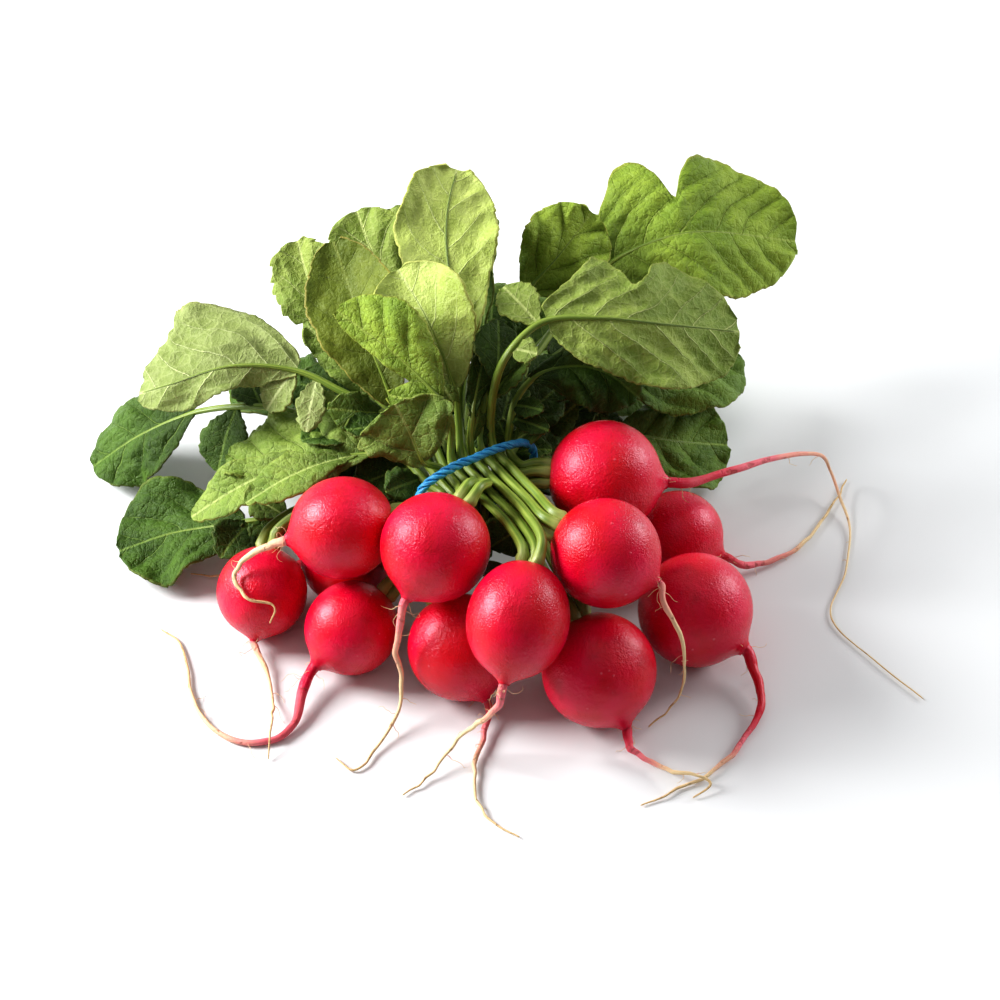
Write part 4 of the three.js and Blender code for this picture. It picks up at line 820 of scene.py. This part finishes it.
def leafPoints(leaf, radish, mean):
    foot = crownOf(radish)
    entry = (bundle["centre"] + bundle["across"] * mean[0] + bundle["up"] * mean[1]
             - bundle["along"] * bundle["lead"])
    guide = [foot, foot - unit(radish["out"]) * bundle["straight"],
             *[np.array(p, float) for p in radish["past"]], entry]
    offset = slotOffset(leaf)
    own = offset - mean
    points = []
    for i, point in enumerate(guide):
        before = guide[max(i - 1, 0)]
        after = guide[i + 1] if i + 1 < len(guide) else point + bundle["along"] * bundle["lead"]
        direction = unit(after - before)
        sideways = unit(np.cross(direction, bundle["up"]))
        upward = np.cross(sideways, direction)
        close = bundle["crowding"] if i < len(guide) - 1 else 1.0
        points.append(point + sideways * own[0] * close + upward * own[1] * close)
    points.append(bundle["centre"] + bundle["across"] * offset[0] + bundle["up"] * offset[1]
                  + bundle["along"] * bundle["lead"])
    return points + [np.array(p, float) for p in leaf["route"]]


def wrinkle(x, y, seed, scale):
    # gentle uneven surface, the same each time for a leaf
    x, y = np.broadcast_arrays(x, y)
    level = seed * noiseStep
    return np.array([noise.noise(Vector((a * scale, b * scale, level))) for a, b in zip(x, y)])


def bladeHalf(leaf, t, hand, length, seed):
    width = np.sin(math.pi * t ** leaf["full"]) ** leaf["round"]
    if leaf["narrow"]:
        side, by = leaf["narrow"]
        width = width * np.where(hand == side, by, 1.0)
    if leaf["notch"]:
        at, depth, side = leaf["notch"]
        sharp = np.exp(-(np.abs(t - at) / bladeShape["notchWidth"]) ** bladeShape["notchPower"])
        width = width * np.where(hand == side, 1 - depth * bladeShape["notchDepth"] * sharp, 1.0)
    for at, by, spread, side in leaf["lobes"]:
        width = width * np.where(hand == side, 1 + by * np.exp(-((t - at) / spread) ** 2), 1.0)
    saw = np.abs((t * bladeShape["waves"] % 1) - 0.5) * 2
    half = width * (1 + leaf["tooth"] * bladeShape["waveDepth"] * (saw - 0.5) * 2) * leaf["half"]
    walk = t * length
    wave = wrinkle(walk, hand * margin["waveHand"] + seed, seed + margin["waveSeed"], margin["waveScale"])
    half = half + wave * np.minimum(half * margin["waveShare"], margin["waveMost"])
    uneven = np.abs(wrinkle(walk, hand * margin["deepHand"], seed + margin["deepSeed"], margin["deepScale"]))
    deep = margin["deep"][0] + margin["deep"][1] * uneven
    place = (walk / margin["toothLength"] + margin["handShift"] * hand
             + wrinkle(walk, hand * margin["shiftHand"], seed, margin["shiftScale"]) * margin["shift"])
    tooth = margin["depth"] * leaf["teeth"]
    half = (half - (place % 1) ** margin["power"] * np.minimum(half / margin["full"], 1) * tooth * deep
            + margin["outward"] * tooth)
    return np.maximum(half, stalkShape["top"])


def leafletHalf(half, t, hand, length, seed):
    full = half * np.sin(math.pi * np.clip(t, 1e-4, 1) ** leafletShape["full"]) ** leafletShape["round"]
    step = (t * length / leafletShape["toothLength"] + leafletShape["handShift"] * hand
            + wrinkle(t * length, hand, seed, leafletShape["shiftScale"]))
    tooth = ((step % 1) ** leafletShape["toothPower"] * leafletShape["toothDepth"]
             * np.minimum(full / leafletShape["fullTooth"], 1))
    return np.maximum(full - tooth + leafletShape["outward"], leafletShape["least"])


def makeBlade(bm, leaf, seed, frameAt, length, back, leafletWidth=None, material=0):
    # frameAt gives rib points, sideways and normal for shares of the blade's length
    small = leafletWidth is not None
    scale = leafletShape if small else plainShape
    grid = leafletShape if small else bladeShape
    columns, rows = (grid["backColumns"], grid["backRows"]) if back else (grid["columns"], grid["rows"])
    mesh, u, row = gridPoints(columns, rows)
    foot = 0.0 if small else bladeShape["foot"]
    t = foot + (bladeShape["end"] - foot) * (0.5 - 0.5 * np.cos(math.pi * np.linspace(0, 1, rows + 1)))
    tt = t[row]
    rib, sideways, normal = frameAt(t)
    hand, edge = np.sign(u), np.abs(u)
    if small:
        width = leafletHalf(leafletWidth, tt, hand, length, seed)
        lift = -leafletShape["dish"] * leafletWidth * (1 - edge) * np.minimum(width / leafletWidth, 1)
    else:
        width = bladeHalf(leaf, tt, hand, length, seed)
        phase = np.where(u < 0, relief["rippleShift"], 0.0)
        ripple = np.sin(fullTurn * (relief["ripples"] * tt + phase)) * leaf["wave"]
        lift = leaf["cup"] * edge ** 2 * width + ripple * edge ** relief["ripplePower"]
    x, y = u * width, tt * length
    reach = np.abs(x)

    def uneven(a, b, key):
        shift, grain, *size = relief[key]
        return wrinkle(a, b, seed + shift, grain) * (size[0] if size else 1.0)

    # side veins leave the rib at an angle and bend towards the tip; the blade puffs up between them
    spacing = relief["spacing"] * scale["spacing"] * (
        relief["smallSpacing"] if leaf["half"] < relief["smallHalf"] else 1.0)
    count = ((y - relief["lean"] * reach - relief["bend"] * reach ** 2) / spacing + uneven(reach, y, "drift")
             + relief["first"])
    panels = np.where(u < 0, count + 0.5, count)
    puff = np.where(edge < 1e-6, 0.0, np.abs(np.sin(math.pi * panels)) ** relief["puffPower"])
    # between side veins, cross veins quilt the panels
    across = (reach / (spacing * relief["crossWidth"]) + relief["crossShift"] * np.floor(panels)
              + uneven(x, y, "cross"))
    quilt = puff * np.abs(np.sin(math.pi * across))
    taper = np.clip(reach / relief["ribFree"], 0, 1) * np.clip(
        (relief["edgeFrom"] - edge) / relief["edgeWidth"], relief["edgeLeast"], 1)
    puffSize = relief["puff"] * leaf["puff"] * scale["puff"] * np.minimum(spacing / relief["puffSpacing"], 1)
    turnOver = -1.0 if leaf["tone"] == "pale" else 1.0
    rough = uneven(x, y, "broad") * leaf["crinkle"] * scale["crinkle"] + uneven(x, y, "fine")
    outer = np.clip((edge - relief["frillFrom"]) / (1 - relief["frillFrom"]), 0, 1) ** relief["frillPower"]
    frill = uneven(x * relief["frillAcross"], y, "frill") * outer * leaf["frill"] * scale["frill"]
    lift = (lift + turnOver * (puff * relief["vein"] + quilt * relief["quilt"]) * taper * puffSize
            + rough * np.clip(reach / relief["crinkleFree"], 0, 1) + frill)
    spots = rib[row] + sideways[row] * x[:, None] + normal[row] * lift[:, None]
    spots[:, 2] = np.maximum(spots[:, 2], bladeShape["lowest"])
    corner = np.empty(len(mesh.loops), int)
    mesh.loops.foreach_get("vertex_index", corner)
    # the vein count steps by half across the rib, so it is stored corner by corner
    faceSide = np.repeat(u[corner].reshape(-1, 4).mean(1) < 0, 4)
    veins = np.stack([count[corner] + 0.5 * faceSide, u[corner]], 1)
    addSheet(bm, mesh, spots, {"veins": veins, "span": np.stack([x, y], 1) / 10.0}, material)


def makeLeaflet(bm, leaf, seed, route, face, at, tip, half, roll, material):
    last = len(route.points) - 1
    foot = curvePoint(route.points, np.array([(last + 1 - len(leaf["route"]) + at) / last]))[0]
    reach = np.array(tip, float) - foot
    size = float(np.linalg.norm(reach))
    heading = reach / size
    sideways = unit(np.cross(heading, face))
    normal = np.cross(sideways, heading)
    sideways, normal = (sideways * math.cos(roll) + normal * math.sin(roll),
                        normal * math.cos(roll) - sideways * math.sin(roll))

    def leafletFrame(t):
        rise = size * leafletShape["rise"] * np.sin(math.pi * t)
        return (foot + reach * t[:, None] + normal * rise[:, None],
                np.repeat(sideways[None], len(t), 0), np.repeat(normal[None], len(t), 0))

    makeBlade(bm, leaf, seed, leafletFrame, size, False, half, material)


def makeStalk(leaf, radish, route, startPart, face):
    # stalk and midrib: one ribbed tube that thins along the blade
    shape = stalkShape
    bm = bmesh.new()
    sunk = np.array(shape["sunk"])
    parts = np.concatenate([np.zeros(len(sunk)), np.linspace(0, startPart, shape["rows"] + 1)[:-1],
                            np.linspace(startPart, 1 - shape["ribEnd"] * (1 - startPart),
                                        shape["ribRows"] + 1)])
    way = np.clip(parts / startPart, 0, 1)
    ribWay = np.clip((parts - startPart) / (1 - startPart), 0, 1)
    radii = shape["radius"] + (shape["top"] - shape["radius"]) * way ** 2
    radii = (radii * (1 - ribWay) ** shape["ribPower"] * np.where(ribWay > 0, shape["ribStart"], 1.0)
             + shape["tip"] * ribWay + shape["flare"] * np.exp(-way * route.total / shape["flareLength"]))
    radii[-1] = 0.0
    direction = route.direction(parts)
    sideways = unit(np.cross(direction, face))
    normal = np.cross(sideways, direction)
    share, extra = shape["above"] if leaf["tone"] == "pale" else shape["below"]
    level = share * radii + extra
    shift = normal * (level * np.clip(ribWay * shape["sinkBy"], 0, 1))[:, None]
    shift[:len(sunk)] += (unit(radish["out"]) * sunk[:, None]
                          + (crownOf(radish) - route.points[0]) * (sunk / shape["sunkLength"])[:, None])

    def ribbed(angle):
        fromTop = ((angle - math.pi / 2) + math.pi) % fullTurn - math.pi
        groove = 1 - shape["groove"] * np.exp(-(fromTop / shape["grooveWidth"]) ** 2)
        return groove * (1 + shape["ridge"] * np.cos(shape["ridges"] * angle))

    tubeSheet(bm, route, parts, radii, shape["sides"], "span",
              lambda angle, row: np.stack([angle / fullTurn, way[row]], 1),
              firstSide=sideways[0], shift=shift, shape=ribbed)
    return bm


def makeLeaf(index, leaf, radish, mean):
    name = "leaf_" + leaf["name"]
    route = Route(leafPoints(leaf, radish, mean))
    startPart = route.partOfPoint(len(route.points) - len(leaf["route"]) + leaf["start"])
    length = (1 - startPart) * route.total
    face = unit(leaf["face"])

    def bladeFrame(t):
        parts = startPart + (1 - startPart) * t
        direction = route.direction(parts)
        sideways = unit(np.cross(direction, face))
        return route.at(parts), sideways, np.cross(sideways, direction)

    bm = bmesh.new()
    makeBlade(bm, leaf, index, bladeFrame, length, leaf["name"].startswith(("back_left", "back_low",
                                                                            "back_right", "back_mid")))
    shades = [leaf["shade"]]
    for k, (at, tip, half, *own) in enumerate(leaf["leaflets"]):
        shade = own[0] if own else leaf["shade"]
        if shade not in shades:
            shades.append(shade)
        roll = leafletShape["roll"] * math.sin(leafletShape["rollStep"] * (index + 3 * k)) if own else 0.0
        seed = index + leafletShape["seed"] + leafletShape["seedStep"] * k
        makeLeaflet(bm, leaf, seed, route, face, at, tip, half, roll, shades.index(shade))
    blade = finishPiece(name + "_blade", bm, [bladeMaterials[shade] for shade in shades], [name])
    thick = blade.modifiers.new("thickness", "SOLIDIFY")
    thick.thickness = bladeShape["thick"] * mm
    thick.offset = -1.0
    stalk = makeStalk(leaf, radish, route, startPart, face)
    finishPiece(name + "_stalk", stalk, [stalkMaterial], [name])


for number, radish in enumerate(radishes, 1):
    own = [(index, leaf) for index, leaf in enumerate(leaves) if leaf["radish"] == number]
    mean = np.mean([slotOffset(leaf) for index, leaf in own], axis=0)
    for index, leaf in own:
        makeLeaf(index, leaf, radish, mean)
print("leaves made:", len(leaves))


# The blue tie: strands twisted round each other, closed round the stalks. "loose" is waves round the tie,
# lag from strand to strand, and size; "thin" and "wide" flatten a strand.
tie = {"halfWidth": 18.8, "halfHeight": 9.4, "square": 3.2, "standOff": 1.3, "strands": 3, "turns": 12,
       "strandRadius": 0.7, "spread": 0.66, "flat": 1.4, "rows": 420, "sides": 8, "thin": 0.72, "wide": 1.25,
       "loose": ((3, 0.21, 0.14), (7, 0.0, 0.08))}


def squared(value, power):
    return np.sign(value) * np.abs(value) ** power


def makeTie():
    bm = bmesh.new()
    angle = np.linspace(0, fullTurn, tie["rows"] + 1)
    wide, high = squared(np.cos(angle), 2 / tie["square"]), squared(np.sin(angle), 2 / tie["square"])
    outward = unit(bundle["across"] * (squared(wide, tie["square"] - 1) / tie["halfWidth"])[:, None]
                   + bundle["up"] * (squared(high, tie["square"] - 1) / tie["halfHeight"])[:, None])
    centre = (bundle["centre"] + bundle["across"] * (tie["halfWidth"] * wide)[:, None]
              + bundle["up"] * (tie["halfHeight"] * high)[:, None] + outward * tie["standOff"])
    steps = np.linalg.norm(np.diff(centre, axis=0), axis=1)
    length = np.concatenate([[0], np.cumsum(steps)])
    even = np.interp(np.linspace(0, length[-1], len(angle)), length, np.arange(len(angle)))
    low = np.minimum(even.astype(int), len(angle) - 2)
    part = (even - low)[:, None]
    centre = centre[low] * (1 - part) + centre[low + 1] * part
    outward = unit(outward[low] * (1 - part) + outward[low + 1] * part)
    around = np.linspace(0, 1, len(angle))
    for k in range(tie["strands"]):
        mesh, u, row = gridPoints(tie["sides"], tie["rows"])
        twist = fullTurn * (tie["turns"] * around + k / tie["strands"])
        spread = tie["spread"] * (1 + sum(size * np.sin(fullTurn * (waves * around + lag * k))
                                          for waves, lag, size in tie["loose"]))
        middle = (centre + outward * (np.cos(twist) * spread)[:, None]
                  + bundle["along"] * (np.sin(twist) * spread * tie["flat"])[:, None])
        turn = (u + 1) * math.pi
        a = outward[row] * np.cos(twist[row])[:, None] + bundle["along"] * np.sin(twist[row])[:, None]
        b = -outward[row] * np.sin(twist[row])[:, None] + bundle["along"] * np.cos(twist[row])[:, None]
        spots = (middle[row] + a * (tie["strandRadius"] * tie["thin"] * np.cos(turn))[:, None]
                 + b * (tie["strandRadius"] * tie["wide"] * np.sin(turn))[:, None])
        addSheet(bm, mesh, spots, {"strand": np.stack([turn / mapTurn, around[row]], 1)})
    finishPiece("tie_strands", bm, [tieMaterial], ["tie"])


makeTie()
print("tie made")


# Camera, floor and light
view = {"target": (0.0114, 0.0454, 0.030), "distance": 0.8, "rise": 45.0, "lens": 96.0}
rise = math.radians(view["rise"])
cameraData = bpy.data.cameras.new("photoView")
cameraData.lens = view["lens"]
cameraData.sensor_width = 36.0
camera = bpy.data.objects.new("photoView", cameraData)
camera.location = (view["target"][0], view["target"][1] - view["distance"] * math.cos(rise),
                   view["target"][2] + view["distance"] * math.sin(rise))
camera.rotation_euler = (math.radians(90) - rise, 0, 0)
bpy.context.collection.objects.link(camera)
bpy.context.scene.camera = camera

floorLook = {"size": 3.0, "colour": (0.72, 0.735, 0.745, 1), "rough": 0.7, "specular": 0.2}
bm = bmesh.new()
bmesh.ops.create_grid(bm, x_segments=2, y_segments=2, size=floorLook["size"])
floorMesh = bpy.data.meshes.new("floor")
bm.to_mesh(floorMesh)
bm.free()
floor = bpy.data.objects.new("floor", floorMesh)
floorMaterial, _, floorSurface = newMaterial("paleFloor")
floorSurface["Base Color"].default_value = floorLook["colour"]
floorSurface["Roughness"].default_value = floorLook["rough"]
floorSurface["Specular IOR Level"].default_value = floorLook["specular"]
floorMesh.materials.append(floorMaterial)
bpy.context.collection.objects.link(floor)

lamps = {
    "leftBox": {"place": (-0.74, 0.16, 0.47), "aim": (0.0, 0.04, 0.03), "size": 0.36, "power": 15.5},
    "rightBox": {"place": (0.80, 0.42, 0.36), "aim": (0.01, 0.05, 0.03), "size": 0.34, "power": 5.5},
}
for name, lamp in lamps.items():
    data = bpy.data.lights.new(name, "AREA")
    data.size = lamp["size"]
    data.energy = lamp["power"]
    light = bpy.data.objects.new(name, data)
    light.location = lamp["place"]
    light.rotation_euler = (Vector(lamp["aim"]) - Vector(lamp["place"])).to_track_quat("-Z", "Y").to_euler()
    bpy.context.collection.objects.link(light)

# the room: bright above and behind, dim towards the camera
room = {"bright": (-0.15, 0.62, 0.77), "from": -0.35, "to": 0.95, "low": 0.13, "high": 0.62,
        "colour": (1.0, 1.0, 1.0, 1.0), "exposure": -0.12}
world = bpy.data.worlds.new("studio")
world.use_nodes = True
sky = world.node_tree
heading = node(sky, "ShaderNodeTexCoord").outputs["Generated"]
facing = node(sky, "ShaderNodeVectorMath", {0: heading, 1: tuple(unit(room["bright"]))},
              operation="DOT_PRODUCT").outputs["Value"]
feed(sky, ramp(sky, facing, room["from"], room["to"], room["low"], room["high"]),
     sky.nodes["Background"].inputs["Strength"])
sky.nodes["Background"].inputs["Color"].default_value = room["colour"]
bpy.context.scene.world = world
bpy.context.scene.view_settings.view_transform = "Standard"
bpy.context.scene.view_settings.look = "Medium High Contrast"
bpy.context.scene.view_settings.exposure = room["exposure"]
print("stage made")
